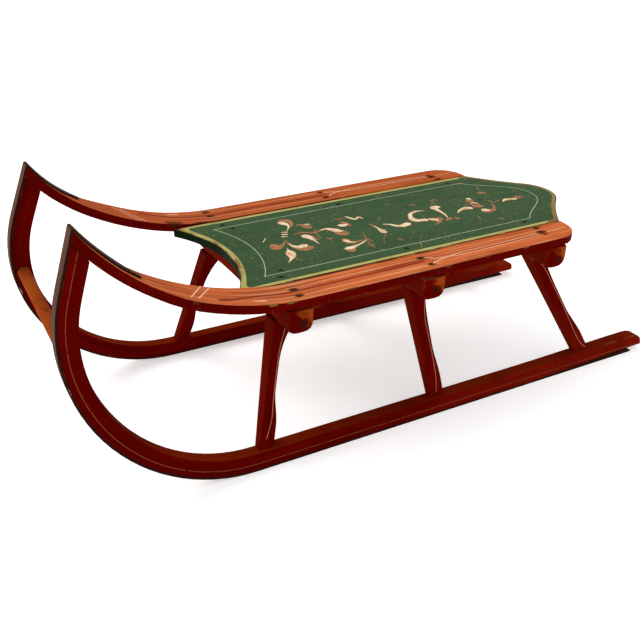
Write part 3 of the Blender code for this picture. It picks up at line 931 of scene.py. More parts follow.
def makeIron(name, settings):
    material, shader = startMaterial(name, settings)
    place, facing = readPlace(shader), readFacing(shader)
    grime = useGroup(grimeGroup, Place=place, **settings["grime"])
    colour = tint(fade(grime["Fine"], 0.35, 0.7), settings["brown"], settings["rust"])
    colour = tint(grime["Broad"] * 0.6, colour, settings["dark"])
    pits = patches(place, *settings["pits"])
    colour = tint(pits * 0.6, colour, settings["dark"])
    if settings["width"]:
        across = split(readAttribute(shader, "grain"))["Y"]
        rim = smallest(across, settings["width"] - across) + (grime["Fine"] - 0.5) * settings["rimFray"]
        colour = tint(fade(rim, *settings["rim"], 0.0, 0.75), colour, settings["dark"])
        colour = tint(fade(facing["Z"], 0.25, 0.6, 0.0, 0.6), colour, settings["dark"])
        sides = fade(abs(facing["X"]), 0.5, 0.8, 0.0, 0.85)      # paint and soot
        colour = tint(sides, colour, redPaint["dirt"])
    rubbed = fade(facing["Z"], -0.7, -0.98) * fade(grime["Fine"], 0.3, 0.6) * settings["polish"]
    colour = tint(rubbed, colour, settings["bright"])
    return finishPaint(material, shader, settings, colour=colour, Metallic=rubbed * 0.8 + 0.05,
                       Roughness=fade(grime["Fine"], 0.2, 0.8, *settings["roughness"]),
                       height=grime["Fine"] - pits * 0.6)


brushPaint = {
    "gloss": 0.15,
    "tones": {                             # name, thick paint, thin paint and wear
        "cream": ("cream strokes", (0.90, 0.76, 0.52, 1), (0.54, 0.235, 0.080, 1), 0.16),
        "orange": ("orange strokes", (0.47, 0.175, 0.052, 1), (0.165, 0.080, 0.028, 1), 0.18),
        "fine": ("fine strokes", (0.30, 0.125, 0.042, 1), (0.165, 0.080, 0.028, 1), 0.22),
        "deckLine": ("pale line", (0.46, 0.56, 0.39, 1), (0.28, 0.38, 0.23, 1), 0.19),
        "postLine": ("post pinstripe", (0.46, 0.150, 0.075, 1), (0.30, 0.070, 0.035, 1), 0.17),
        "railLine": ("rail pinstripe", (0.92, 0.56, 0.34, 1), (0.70, 0.36, 0.18, 1), 0.16),
    },
    "streakAlong": 60.0,
    "streakAcross": 5.0,
    "blot": 140.0,
    "rim": (0.26, 0.52),                   # shares of the width, away from rimMiddle
    "rimMiddle": 0.42,
    "rimPatch": (55.0, 0.35, 0.6, 3.0, 0.6),
    "flakes": 420.0,
    "flakeLevels": (0.86, 0.90),
    "roughness": (0.38, 0.6),
    "bump": (0.0002, 0.5),
}


def makeBrushPaint(settings, name, thick, thin, wear):
    # Thin oil paint with streaks along the stroke, thinned to nothing at its worn spots.
    material, shader = startMaterial(name, settings)
    place = readPlace(shader)
    along, across = readAttribute(shader, "along", "Fac"), readAttribute(shader, "across", "Fac")
    streaks = cloud(join(along * settings["streakAlong"], across * settings["streakAcross"]), 1.0, 3.0, 0.6)
    blot = cloud(place, settings["blot"], 3.0, 0.6)
    share = fade(streaks * 0.6 + blot * 0.5, 0.42, 0.72)
    rim = fade(abs(across - settings["rimMiddle"]), *settings["rim"], 0.0, 0.85)
    share = largest(share, rim * patches(place, *settings["rimPatch"]))
    low, high = [level - wear for level in settings["flakeLevels"]]
    return finishPaint(material, shader, settings, colour=tint(share, thick, thin), height=streaks,
                       Roughness=fade(blot, 0.2, 0.8, *settings["roughness"]),
                       Alpha=fade(cloud(place, settings["flakes"], 4.0, 0.7), low, high, 1.0, 0.0))


rungPaint = {
    **redPaint,
    "deep": (0.31, 0.048, 0.006, 1),
    "deepDark": (0.17, 0.008, 0.001, 1),
    "lit": (0.30, 0.060, 0.009, 1),
    "pale": (0.42, 0.19, 0.060, 1),
    "edgeWear": {"Reach": 0.001, "Amount": 0.22},
    "rings": [(-0.1418, 0.0010, "pale"), (0.1418, 0.0010, "pale"), (-0.0220, 0.0006, "dirt"),
              (0.0580, 0.0006, "dirt")],
}
postPaint = {**redPaint, "litAmount": 0.30, "edgeWear": {"Reach": 0.0019, "Amount": 0.27}}
beamPaint = {**redPaint, "litAmount": 0.45, "edgeWear": {"Reach": 0.0028, "Amount": 0.26}, "ends": beamEnds}
paints = {
    "runner": makeRedPaint("runner red", {**redPaint, "stripe": runnerStripe}),
    "post": makeRedPaint("post red", postPaint),
    "beam": makeRedPaint("beam red", beamPaint),
    "rail": makeRailPaint("rail orange", railPaint),
    "rung": makeRedPaint("rung orange", rungPaint),
    "deck": makeDeckPaint("deck green", deckPaint),
    "iron": makeIron("shoe iron", shoeIron),
    "screw": makeIron("screw iron", screwIron),
}
for tone, looks in brushPaint["tones"].items():
    paints[tone] = makeBrushPaint(brushPaint, *looks)

print("bent and bowed wood")

dressing = {
    "weld": 0.00002,
    "sharp": math.radians(50),
    "strapSharp": math.radians(40),
    "beamSharp": math.radians(60),
}


def settle(piece, modifier):
    # What the modifier makes becomes the piece's own plain mesh.
    made = bpy.data.meshes.new_from_object(piece.evaluated_get(bpy.context.evaluated_depsgraph_get()))
    piece.modifiers.remove(modifier)
    piece.data = made


def addPiece(name, body, material=None):
    # A finished bmesh becomes an object of the scene.
    mesh = bpy.data.meshes.new(name)
    body.to_mesh(mesh)
    body.free()
    if material:
        mesh.materials.append(material)
    piece = bpy.data.objects.new(name, mesh)
    bpy.context.scene.collection.objects.link(piece)
    return piece


def dress(node, name, material, slotName, grainOf, spanOf, sharp=dressing["sharp"]):
    # A merged, smooth-shaded copy of a CAD node that carries grain coordinates.
    body = bmesh.new()
    body.from_mesh(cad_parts[node].data)
    bmesh.ops.remove_doubles(body, verts=body.verts, dist=dressing["weld"])
    for edge in body.edges:
        if len(edge.link_faces) == 2 and edge.calc_face_angle() > sharp:
            edge.smooth = False
    for face in body.faces:
        face.smooth = True
    piece = addPiece(name, body, material)
    for label, placeOf in (("grain", grainOf), ("span", spanOf)):
        attribute = piece.data.attributes.new(label, "FLOAT_VECTOR", "POINT")
        for index, vertex in enumerate(piece.data.vertices):
            attribute.data[index].vector = placeOf(vertex.co)
    weights = piece.modifiers.new("flat faces stay flat", "WEIGHTED_NORMAL")
    weights.keep_sharp = True
    settle(piece, weights)
    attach(piece, "root")
    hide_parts(node)
    return piece


def boxGrain(node, order):
    # Grain coordinates of a straight piece, measured in its own box, with its long axis first.
    low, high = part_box(node)
    size = high - low
    return (lambda point: Vector([point[k] - low[k] for k in order]),
            lambda point: Vector([size[k] for k in order]))


def runnerSpan(point):
    return Vector((bow["farEnd"], bow["width"], bow["depth"]))


def shoeSpan(point):
    return Vector((bow["farEnd"], bow["width"], bow["strap"]))


def railSpan(point):
    return Vector((bow["farEnd"], railOuter(point.y) - railInner(point.y), rail["thickness"]))


stations = ("front", "middle", "rear")
hands = {"left": 1, "right": -1}
for hand in hands:
    dress("runner_" + hand, "bowedRunner_" + hand, paints["runner"], "red_wood", runnerGrain, runnerSpan)
    dress("rail_" + hand, "bentRail_" + hand, paints["rail"], "rail_wood", railGrain, railSpan)
    dress("shoe_" + hand, "ironShoe_" + hand, paints["iron"], "iron", runnerGrain, shoeSpan,
          dressing["strapSharp"])
    for station in stations:
        node, name = f"post_{station}_{hand}", f"post{station.capitalize()}_{hand}"
        dress(node, name, paints["post"], "red_wood", *boxGrain(node, (2, 1, 0)))
for station in stations:
    dress("beam_" + station, "crossBeam_" + station, paints["beam"], "red_wood",
          *boxGrain("beam_" + station, (0, 1, 2)), dressing["beamSharp"])
dress("front_rung", "turnedRung", paints["rung"], "rail_wood", *boxGrain("front_rung", (0, 1, 2)),
      dressing["beamSharp"])

print("deck board")

deck = {
    "half": 0.1277,
    "top": rail["top"],
    "thickness": rail["thickness"],
    "edge": 0.0014,
    "corner": 0.2504,         # stations, back from the front of the bow
    "frontDepth": 0.0400,
    "rear": 0.8334,
    "tail": 0.0906,
    "crownRadius": 0.0620,
    "crownTurn": math.radians(47),
    "step": 0.0045,           # between points of the outline
    "grid": 0.0070,           # between points of the faces
    "gridGap": 0.003,         # from the rim to the grid
    "nearest": 0.00001,       # points nearer than this are one
    "edgeSteps": 3,
    "sharpest": 0.4,          # share that keeps the rim from spreading at a sharp corner
}


def bulge(half, depth):
    # Radius and half angle of an arc by its half width and depth.
    radius = (half ** 2 + depth ** 2) / (2 * depth)
    return radius, math.asin(half / radius)


def arc(centreY, radius, sweep, count, way=1):
    # Points round (0, centreY), from one side to the other.
    turns = [sweep * (1 - 2 * i / count) for i in range(count + 1)]
    return [(way * radius * math.sin(turn), centreY + radius * math.cos(turn)) for turn in turns]


def deckOutline(settings):
    # Front arc, left side, ogee, crown, ogee and right side.
    half, step = settings["half"], settings["step"]
    front, rear = settings["corner"] - halfLength, settings["rear"] - halfLength
    radius, sweep = bulge(half, settings["frontDepth"])
    count = round(2 * sweep * radius / step)
    points = arc(front + settings["frontDepth"] - radius, radius, sweep, count, -1)[:-1]
    sideCount = round((rear - front) / step)
    points += [(half, front + (rear - front) * i / sideCount) for i in range(sideCount)]
    turn, crown = settings["crownTurn"], settings["crownRadius"]
    crownY = rear + settings["tail"] - crown
    across, along = direction(turn), Vector((math.cos(turn), -math.sin(turn)))
    shoulder = Vector((crown * math.sin(turn), crownY + crown * math.cos(turn)))
    run = Vector((half, rear)) - shoulder
    forward, sideways = run.dot(along), run.dot(across)
    count = round(run.length / step)
    flank = [shoulder + along * forward * i / count + across * sideways * (i / count) ** 2
             for i in range(count, 0, -1)]
    points += [tuple(p) for p in flank]
    points += arc(crownY, crown, turn, round(2 * turn * crown / step))
    points += [(-p[0], p[1]) for p in reversed(flank)]
    points += [(-half, rear + (front - rear) * i / sideCount) for i in range(1, sideCount)]
    return [Vector(p) for p in points]


def around(points):
    # Each point with the next one, and the last with the first.
    return list(zip(points, points[1:] + points[:1]))


def outlineDistance(point, outline):
    best = math.inf
    for first, second in around(outline):
        run = second - first
        share = min(max((point - first).dot(run) / run.length_squared, 0), 1)
        best = min(best, (point - first - run * share).length)
    return best


def insetWays(outline, sharpest):
    # How each point of the outline moves for an inset of one.
    turnSign = 1 if sum(a[0] * b[1] - b[0] * a[1] for a, b in around(outline)) > 0 else -1
    ways = []
    for i, point in enumerate(outline):
        before, after = point - outline[i - 1], outline[(i + 1) % len(outline)] - point
        first, second = [Vector((-run[1], run[0])).normalized() for run in (before, after)]
        ways.append((first + second) / max(1 + first.dot(second), sharpest) * turnSign)
    return ways


def isInside(p, outline):
    crossings = 0
    for a, b in around(outline):
        if (a[1] > p[1]) != (b[1] > p[1]) and p[0] < a[0] + (b[0] - a[0]) * (p[1] - a[1]) / (b[1] - a[1]):
            crossings += 1
    return crossings % 2 == 1


def gridPoints(settings, outline):
    # Staggered points that fill the board's faces.
    step = settings["grid"]
    low = round((settings["corner"] - halfLength) / step) - 1
    high = round((settings["rear"] + settings["tail"] - halfLength) / step) + 1
    kept = []
    for i in range(round(-settings["half"] / step), round(settings["half"] / step) + 1):
        for j in range(low, high):
            p = Vector((i * step, j * step + (i % 2) * step / 2))
            if isInside(p, outline) and outlineDistance(p, outline) > settings["gridGap"]:
                kept.append(p)
    return kept


def edgeRings(settings):
    # Inset and height, from the top face over the rounded edge to the bottom face, before the tilt.
    edge, top, bottom = settings["edge"], settings["top"], settings["top"] - settings["thickness"]
    steps = settings["edgeSteps"]
    turns = [math.pi / 2 * (steps - i) / steps for i in range(steps + 1)]
    over = [(edge * (1 - math.cos(turn)), edge * (1 - math.sin(turn))) for turn in turns]
    under = [(inset, bottom + drop) for inset, drop in over[::-1]]
    return [(inset, top - drop) for inset, drop in over] + under


def makeDeck(settings):
    outline = deckOutline(settings)
    inward = insetWays(outline, settings["sharpest"])
    rim = [p + way * settings["edge"] for p, way in zip(outline, inward)]
    count = len(outline)
    loop = [(i, (i + 1) % count) for i in range(count)]
    points = rim + gridPoints(settings, rim)
    flat, _, faces, origins, _, _ = delaunay_2d_cdt(points, loop, [list(range(count))], 1,
                                                    settings["nearest"])
    rings = edgeRings(settings)
    body = bmesh.new()
    rows = [[body.verts.new((*(p + way * inset), z)) for p, way in zip(outline, inward)]
            for inset, z in rings]
    for (_, z), row, way in ((rings[0], rows[0], 1), (rings[-1], rows[-1], -1)):
        verts = []
        for p, origin in zip(flat, origins):
            onRim = origin and origin[0] < count
            verts.append(row[origin[0]] if onRim else body.verts.new((p[0], p[1], z)))
        for face in faces:
            body.faces.new([verts[k] for k in face][::way])
    for near, far in zip(rows, rows[1:]):
        for i, j in loop:
            body.faces.new((near[i], near[j], far[j], far[i]))
    bmesh.ops.recalc_face_normals(body, faces=body.faces)
    for corner in body.verts:
        corner.co.z += seatLift(corner.co.y)
    for face in body.faces:
        face.smooth = True
    piece = addPiece("deckBoard", body, paints["deck"])
    attribute = piece.data.attributes.new("rim", "FLOAT", "POINT")
    for index, vertex in enumerate(piece.data.vertices):
        attribute.data[index].value = outlineDistance(vertex.co.to_2d(), outline)
    settle(piece, piece.modifiers.new("flat faces stay flat", "WEIGHTED_NORMAL"))
    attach(piece, "root")
    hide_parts("deck_board")


makeDeck(deck)

print("brushwork")


def startTree(name, inputs):
    # A geometry tree with named inputs, each of a kind and with a first value.
    tree = bpy.data.node_groups.new(name, "GeometryNodeTree")
    for label, (kind, value) in {"Geometry": ("Geometry", None), **inputs}.items():
        socket = tree.interface.new_socket(label, in_out="INPUT", socket_type="NodeSocket" + kind)
        if value is not None:
            socket.default_value = value
    tree.interface.new_socket("Geometry", in_out="OUTPUT", socket_type="NodeSocketGeometry")
    return tree, readGiven(tree)


def endTree(tree, geometry, material):
    real = addNode(tree, "GeometryNodeRealizeInstances", {"Geometry": geometry})
    painted = addNode(tree, "GeometryNodeSetMaterial", {"Geometry": real, "Material": material})
    return endGroup(tree, Geometry=painted)


def readNamed(tree, name, kind="FLOAT"):
    return addNode(tree, "GeometryNodeInputNamedAttribute", {"Name": name}, "Attribute", data_type=kind)


def storeNamed(geometry, name, measure):
    # Keeps a measure of the spline that each point is on.
    value = addNode(geometry.tree, "GeometryNodeSplineParameter", output=measure)
    inputs = {"Name": name, "Geometry": geometry, "Value": value}
    return addNode(geometry.tree, "GeometryNodeStoreNamedAttribute", inputs, "Geometry", data_type="FLOAT")


def makeBrushTree():
    # Ribbons of paint along paths, as wide as brushWidth says, facing as facing says.
    tree, given = startTree("brush strokes", {"Lift": ("Float", 0.0001), "Crown": ("Float", 0.0001),
                                              "Bristles": ("Int", 5), "Paint": ("Material", None)})
    facing = readNamed(tree, "facing", "FLOAT_VECTOR")
    path = addNode(tree, "GeometryNodeMeshToCurve", {"Mesh": given["Geometry"]})
    path = addNode(tree, "GeometryNodeSetCurveNormal", {"Curve": path, "Normal": facing}, mode="FREE")
    path = storeNamed(path, "along", "Length")
    profile = addNode(tree, "GeometryNodeCurvePrimitiveLine", {"Start": (0, -1, 0), "End": (0, 1, 0)})
    profile = addNode(tree, "GeometryNodeResampleCurve", {"Curve": profile, "Count": given["Bristles"]})
    profile = storeNamed(profile, "across", "Factor")
    sweep = {"Curve": path, "Profile Curve": profile, "Scale": readNamed(tree, "brushWidth")}
    ribbon = addNode(tree, "GeometryNodeCurveToMesh", sweep)
    off = readNamed(tree, "across") * 2.0 - 1.0
    height = given["Crown"] * (1.0 - off * off) + given["Lift"]
    offset = addNode(tree, "ShaderNodeVectorMath", {0: facing, "Scale": height}, operation="SCALE")
    raised = addNode(tree, "GeometryNodeSetPosition", {"Geometry": ribbon, "Offset": offset})
    return endTree(tree, raised, given["Paint"])


def bakeTree(piece, tree, settings):
    modifier = piece.modifiers.new(tree.name, "NODES")
    modifier.node_group = tree
    for item in tree.interface.items_tree:
        if item.in_out == "INPUT" and item.name in settings:
            modifier[item.identifier] = settings[item.name]
    bpy.context.view_layer.update()
    settle(piece, modifier)
    return piece


def spline(points, steps):
    # A smooth path through the points, their widths smoothed with their places.
    full = [points[0]] + list(points) + [points[-1]]
    path = []
    for i in range(1, len(full) - 2):
        corners = list(zip(*full[i - 1:i + 3]))
        for step in range(steps):
            t = step / steps
            path.append(tuple(0.5 * (2 * q + (r - p) * t + (2 * p - 5 * q + 4 * r - s) * t * t
                                     + (3 * q - p - 3 * r + s) * t ** 3) for p, q, r, s in corners))
    path.append(tuple(points[-1]))
    return path


brush = {
    "thinnest": 0.00005,
    "stroke": (0.00008, 5),               # crown and bristles
    "line": (0.00012, 0.00006, 3),        # lift, crown and bristles
}


def pathObject(name, paths):
    # Each path is a list of (position, half width, facing).
    verts, edges, widths, facings = [], [], [], []
    for path in paths:
        base = len(verts)
        for place, width, facing in path:
            verts.append(place)
            widths.append(max(width, brush["thinnest"]))
            facings.append(facing)
        edges += [(base + i, base + i + 1) for i in range(len(path) - 1)]
    mesh = bpy.data.meshes.new(name)
    mesh.from_pydata(verts, edges, [])
    wide = mesh.attributes.new("brushWidth", "FLOAT", "POINT")
    turned = mesh.attributes.new("facing", "FLOAT_VECTOR", "POINT")
    for index, (width, facing) in enumerate(zip(widths, facings)):
        wide.data[index].value = width
        turned.data[index].vector = facing
    piece = bpy.data.objects.new(name, mesh)
    bpy.context.scene.collection.objects.link(piece)
    return piece


brushTree = makeBrushTree()

scrollwork = {
    "unit": 0.001,
    "steps": 7,
    "lifts": {"orange": 0.00010, "cream": 0.00022, "fine": 0.00008},      # over the board
    "orange": [              # x, y and half width of each stroke
        [(-78, -103, 1), (-82, -95, 4), (-80, -88, 5.6), (-71, -84, 4.6), (-58, -87, 2.2), (-49, -93, 0.7)],
        [(-7, -123, 0.7), (4, -132, 2.2), (12, -141, 4.5), (13, -148, 8.7), (5, -151, 7.7), (3, -156, 3.5)],
        [(1, -125, 0.7), (14, -125, 2.6), (28, -121, 4.9), (36, -113, 8), (36, -103, 7.2), (33, -96, 2.5)],
        [(38, -139, 1.8), (52, -142, 2.6), (60, -148, 1.2)],
        [(-53, -82, 1.3), (-50, -72, 3.4), (-42, -70, 6.2), (-37, -66, 7.3), (-37, -61, 2.3)],
        [(-21, -103, 1.1), (-22, -90, 1.9), (-18, -80, 2.1), (-13, -70, 2.3), (-16, -57, 2.4),
         (-18, -45, 3.6), (-12, -39, 5.4), (-3, -35, 6.8), (8, -32, 9.4), (11, -25, 8.5), (11, -20, 2.9)],
        [(-10, -89, 2.4), (-2, -81, 3.1), (10, -80, 2.5), (16, -75, 1.1)],
        [(-33, -10, 2.1), (-27, -6, 4.4), (-18, -4, 3.6), (-8, -3, 1.1)],
        [(34, -45, 4), (36, -41, 6.4), (44, -40, 6.2), (50, -34, 4.7), (50, -26, 2.7), (48, -16, 1)],
        [(75, -57, 3.5), (76, -49, 3.7), (69, -42, 1)],
        [(-4, 28, 1), (7, 30, 2.2), (18, 32, 1.2)],
        [(-14, 121, 1.3), (0, 107, 2.7), (15, 102, 6.5), (15, 112, 3)],
        [(20, 129, 2.5), (25, 131, 5.7), (30, 136, 7.7), (32, 143, 7.8), (39, 140, 2.8), (45, 131, 2.1),
         (48, 123, 0.8)],
        [(43, 149, 1), (38, 158, 3.8), (37, 166, 2.4)],
        [(42, 169, 2.4), (42, 173, 5.9), (42, 176, 2.3)],
        [(22, 187, 0.9), (16, 197, 2.2), (13, 205, 1.3)],
        [(1, 238, 3.4), (9, 239, 9.3), (13, 245, 6.8), (13, 248, 2.2)],
        [(-21, 240, 3.6), (-14, 243, 9.3), (-13, 249, 3.5)],
        [(32, 233, 3.9), (36, 236, 7.3), (39, 242, 7.4), (39, 251, 4.7), (33, 259, 2.4), (22, 265, 1.9),
         (15, 266, 0.9)],
        [(13, 320, 1.9), (10, 330, 5.6), (11, 339, 3.1)],
        [(-42, 280, 2.2), (-38, 286, 4.8), (-33, 294, 2.1)],
        [(5, 284, 2.1), (10, 289, 2.1)],
        [(17, 292, 1.1), (12, 302, 2.3), (15, 311, 2)],
    ],
    "cream": [
        [(-73, -104, 3.4), (-72, -99, 5.6), (-66, -95, 4.6), (-56, -94, 2), (-45, -100, 1),
         (-39, -105, 0.7)],
        [(-36, -116, 1.4), (-35, -110, 2.2), (-33, -107, 1.5)],
        [(-28, -120, 1.4), (-27, -115, 2.2), (-25, -110, 1.4)],
        [(-21, -124, 1.4), (-20, -120, 2.2), (-17, -115, 1.4)],
        [(8, -125, 0.7), (19, -124, 2.5), (27, -117, 4.6), (26, -108, 6), (25, -102, 2.7)],
        [(22, -135, 0.6), (29, -137, 1), (34, -138, 4.4), (41, -139, 7.4), (49, -141, 7),
         (56, -144, 4.6), (62, -149, 2), (71, -157, 0.4)],
        [(-49, -69, 1.6), (-48, -64, 3), (-45, -61, 1.3)],
        [(-16, -57, 1), (-17, -46, 2.6), (-11, -39, 5), (-4, -34, 6.8), (1, -29, 4), (1, -24, 1)],
        [(-6, -95, 4.1), (-5, -90, 7.3), (1, -86, 5.8), (8, -85, 3.6), (18, -84, 1.9), (30, -84, 0.7)],
        [(-23, -20, 2.5), (-19, -16, 5.2), (-18, -10, 4.9), (-21, -4, 1.3)],
        [(34, -43, 2.6), (39, -41, 4.2), (46, -38, 3.1), (50, -29, 1.2)],
        [(68, -58, 3.5), (66, -51, 5.3), (65, -43, 4.3), (62, -34, 2.7), (58, -23, 1.8), (52, -12, 0.7)],
        [(7, 30, 0.8), (19, 31, 1.9), (28, 31, 4.7), (34, 33, 7.5), (34, 36, 3)],
        [(8, 47, 1.3), (14, 57, 2.2), (24, 64, 3.9), (28, 72, 5.1), (26, 83, 6.9), (28, 89, 3.9)],
        [(-10, 146, 0.4), (-14, 135, 1.6), (-15, 126, 2.8), (-10, 114, 3.4), (1, 106, 3.8),
         (13, 103, 5.8), (20, 107, 5.6), (22, 114, 4.6), (24, 121, 5.4), (25, 126, 2)],
        [(23, 128, 2.3), (28, 133, 3.6), (32, 138, 3.2), (39, 135, 0.9)],
        [(-15, 159, 3.3), (-15, 166, 7.7), (-16, 173, 6.1), (-13, 178, 2)],
        [(-12, 165, 3.8), (-2, 165, 3.8), (10, 165, 2.4), (20, 164, 1.8), (32, 160, 0.7)],
        [(23, 188, 0.6), (16, 197, 2.3), (12, 206, 3.8), (11, 214, 4.9), (13, 220, 5.4), (19, 223, 2.8)],
        [(-25, 242, 2), (-23, 247, 4.2), (-19, 249, 1.5)],
        [(29, 234, 3.4), (33, 239, 5.9), (39, 245, 2.5)],
        [(16, 292, 0.7), (9, 302, 3), (11, 313, 3.8), (14, 320, 4.4), (14, 324, 1.7)],
        [(-14, -159, 0.7), (-21, -153, 0.9), (-28, -148, 0.5)],
        [(-50, 9, 1.1), (-40, 13, 2.7), (-32, 18, 2.5), (-37, 28, 2.7), (-28, 31, 1.1)],
        [(-2, 234, 1.2), (-3, 243, 1.9), (2, 248, 1.5)],
    ],
    "fine": [
        [(20, 0, 0.7), (40, -6, 1.3), (55, -11, 1.3), (71, -15, 1.4), (82, -13, 0.9)],
        [(52, -18, 0.9), (49, -7, 2.4), (62, -6, 0.8)],
        [(14, -62, 0.9), (21, -60, 2.8), (18, -53, 0.8)],
        [(-50, -12, 1.2), (-44, -8, 2.2), (-45, 0, 2), (-44, 7, 1.3)],
        [(-45, 134, 1.3), (-44, 140, 2.6), (-44, 147, 1.3)],
        [(-44, 178, 0.9), (-48, 188, 2.7), (-42, 193, 1.5)],
        [(-37, 175, 1.2), (-37, 180, 2.5), (-33, 181, 1.3)],
        [(-3, 272, 1.3), (7, 274, 2.2), (16, 278, 1.4)],
        [(-2, 219, 1), (-4, 227, 2.2), (0, 230, 1.5)],
        [(73, 234, 1.4), (77, 237, 2.8), (81, 242, 1.4)],
        [(53, -146, 1), (68, -137, 1.2), (73, -136, 0.8)],
        [(-28, -58, 0.5), (-18, -66, 1), (0, -70, 1.3), (14, -70, 0.7)],
        [(39, 33, 0.5), (60, 16, 0.8), (74, 8, 0.5)],
        [(74, 33, 1), (73, 39, 2.4), (80, 41, 1)],
        [(89, 64, 0.5), (103, 57, 0.9), (116, 48, 0.5)],
        [(51, 207, 1), (56, 207, 1.3), (65, 204, 0.6)],
        [(-26, 63, 0.5), (-15, 53, 0.8), (-7, 51, 0.6)],
        [(-96, 272, 1.4), (-96, 283, 3.9), (-89, 290, 1.7)],
        [(-69, 300, 0.8), (-59, 296, 1), (-49, 292, 0.7)],
    ],
}
deckLine = {
    "side": 0.0970,
    "frontCorner": -0.2080,
    "frontDepth": 0.0264,
    "half": 0.00065,
    "frontSteps": 32,
    "sideSteps": 40,
    "rearSteps": 4,
    "rear": [(0.0970, 0.2830), (0.0925, 0.2855), (0.0765, 0.3030), (0.0640, 0.3200), (0.0505, 0.3380),
             (0.0380, 0.3520), (0.0250, 0.3620), (0.0110, 0.3665), (0.0, 0.3678)],
}


def onDeck(points, unit=1.0):
    return [(Vector((x * unit, y * unit, deck["top"] + seatLift(y * unit))), width * unit, seatUp)
            for x, y, width in points]


def finishBrushwork(name, paths, paint, slotName, lift, crown, bristles):
    settings = {"Lift": lift, "Crown": crown, "Bristles": bristles, "Paint": paint}
    piece = bakeTree(pathObject(name, paths), brushTree, settings)
    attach(piece, "root")


def finishLines(name, paths, paint, slotName):
    finishBrushwork(name, paths, paint, slotName, *brush["line"])


for tone, lift in scrollwork["lifts"].items():
    strokes = [onDeck(spline(stroke, scrollwork["steps"]), scrollwork["unit"]) for stroke in scrollwork[tone]]
    finishBrushwork("scrollwork_" + tone, strokes, paints[tone], "deck_wood", lift, *brush["stroke"])


def deckLinePath(settings):
    half, depth, corner = settings["side"], settings["frontDepth"], settings["frontCorner"]
    radius, sweep = bulge(half, depth)
    front = arc(corner + depth - radius, radius, sweep, settings["frontSteps"])
    rear = [p[:2] for p in spline([(*p, 0) for p in settings["rear"]], settings["rearSteps"])]
    rear += [(-x, y) for x, y in reversed(rear[:-1])]
    steps, run = settings["sideSteps"], rear[0][1] - corner
    side = [(half, corner + run * i / steps) for i in range(steps + 1)]
    return [front, side, [(-x, y) for x, y in side], rear]


paths = [onDeck([(x, y, deckLine["half"]) for x, y in path]) for path in deckLinePath(deckLine)]
finishLines("deckLine", paths, paints["deckLine"], "deck_wood")

railLines = {                 # across from the inner edge, along, and half width in millimetres
    "unit": 0.001,
    "steps": 8,
    "strokes": [
        [(1, -316, .9), (46, -345.5, .9)],
        [(4, -305.5, .9), (46, -335.5, .9)],
        [(44, 30, .5), (41, 35, 1.1), (36, 50, 1.2), (32.5, 69, .9), (29, 90, .8), (28, 110, .75),
         (28, 169, .75), (27, 215, .75), (26, 250, .6)],
        [(27, 266, .5), (27, 280, .75), (26, 307, .6)],
        [(19, 32, .5), (23, 37, .9), (29, 45, 1.0), (32.5, 64, .8), (35, 86, .75), (35.5, 144, .75),
         (34, 205, .7), (31, 248, .5)],
        [(44, -262, .8), (46, -250, 1.3), (45, -240, 1.0)],
    ],
}


def railStroke(stroke, side, settings):
    path, unit = [], settings["unit"]
    for across, y, width in spline(stroke, settings["steps"]):
        place, up = onRail(across * unit, y * unit)
        path.append((Vector((side * place.x, place.y, place.z)), width * unit, up))
    return path


railBrush = [railStroke(stroke, side, railLines)
             for side in hands.values() for stroke in railLines["strokes"]]
finishLines("railPinstripes", railBrush, paints["railLine"], "rail_wood")

postLines = {                 # along and up, in millimetres
    "unit": 0.001,
    "half": 0.6,
    "curlHalf": 0.5,
    "steps": 8,
    "curlSteps": 6,
    "front": [(-200, 197), (-211.5, 170), (-219, 143), (-230, 98), (-236, 70), (-247.5, 43)],
    "middle": [(39, 189), (38.5, 159), (45, 121), (53.5, 66), (53, 36)],
    "rear": [(265, 212), (284, 192), (302.5, 160), (319, 131), (335, 101), (352, 67), (366, 45), (378, 34)],
    "curl": [(251, 218), (255.5, 214), (258, 210), (255, 207.5), (251.5, 210)],
}


def onFace(node, side, points, unit=1.0):
    # Places on a piece's outer face, found by looking at it square from the side.
    shape = bmesh.new()
    shape.from_mesh(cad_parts[node].data)
    tree = BVHTree.FromBMesh(shape)
    shape.free()
    path = []
    for y, z, width in points:
        eye = Vector((side * halfLength, y * unit, z * unit))
        place, facing, _, _ = tree.ray_cast(eye, Vector((-side, 0, 0)))
        if place:
            path.append((place, width * unit, facing))
    return path


postBrush = []
for hand, side in hands.items():
    for station in stations:
        line = spline([(*point, postLines["half"]) for point in postLines[station]], postLines["steps"])
        postBrush.append(onFace(f"post_{station}_{hand}", side, line, postLines["unit"]))
    curl = spline([(*point, postLines["curlHalf"]) for point in postLines["curl"]], postLines["curlSteps"])
    postBrush.append(onFace(f"post_rear_{hand}", side, curl, postLines["unit"]))
finishLines("postPinstripes", [path for path in postBrush if len(path) > 1], paints["postLine"], "red_wood")

print("screws and nails")

screwShape = {                # shares of the head's radius
    "slotHalf": 0.14,
    "slotDepth": 0.35,
    "under": 0.3,             # below the slot's floor
    "bevel": 0.10,
    "crown": 0.90,
    "steps": 12,
}


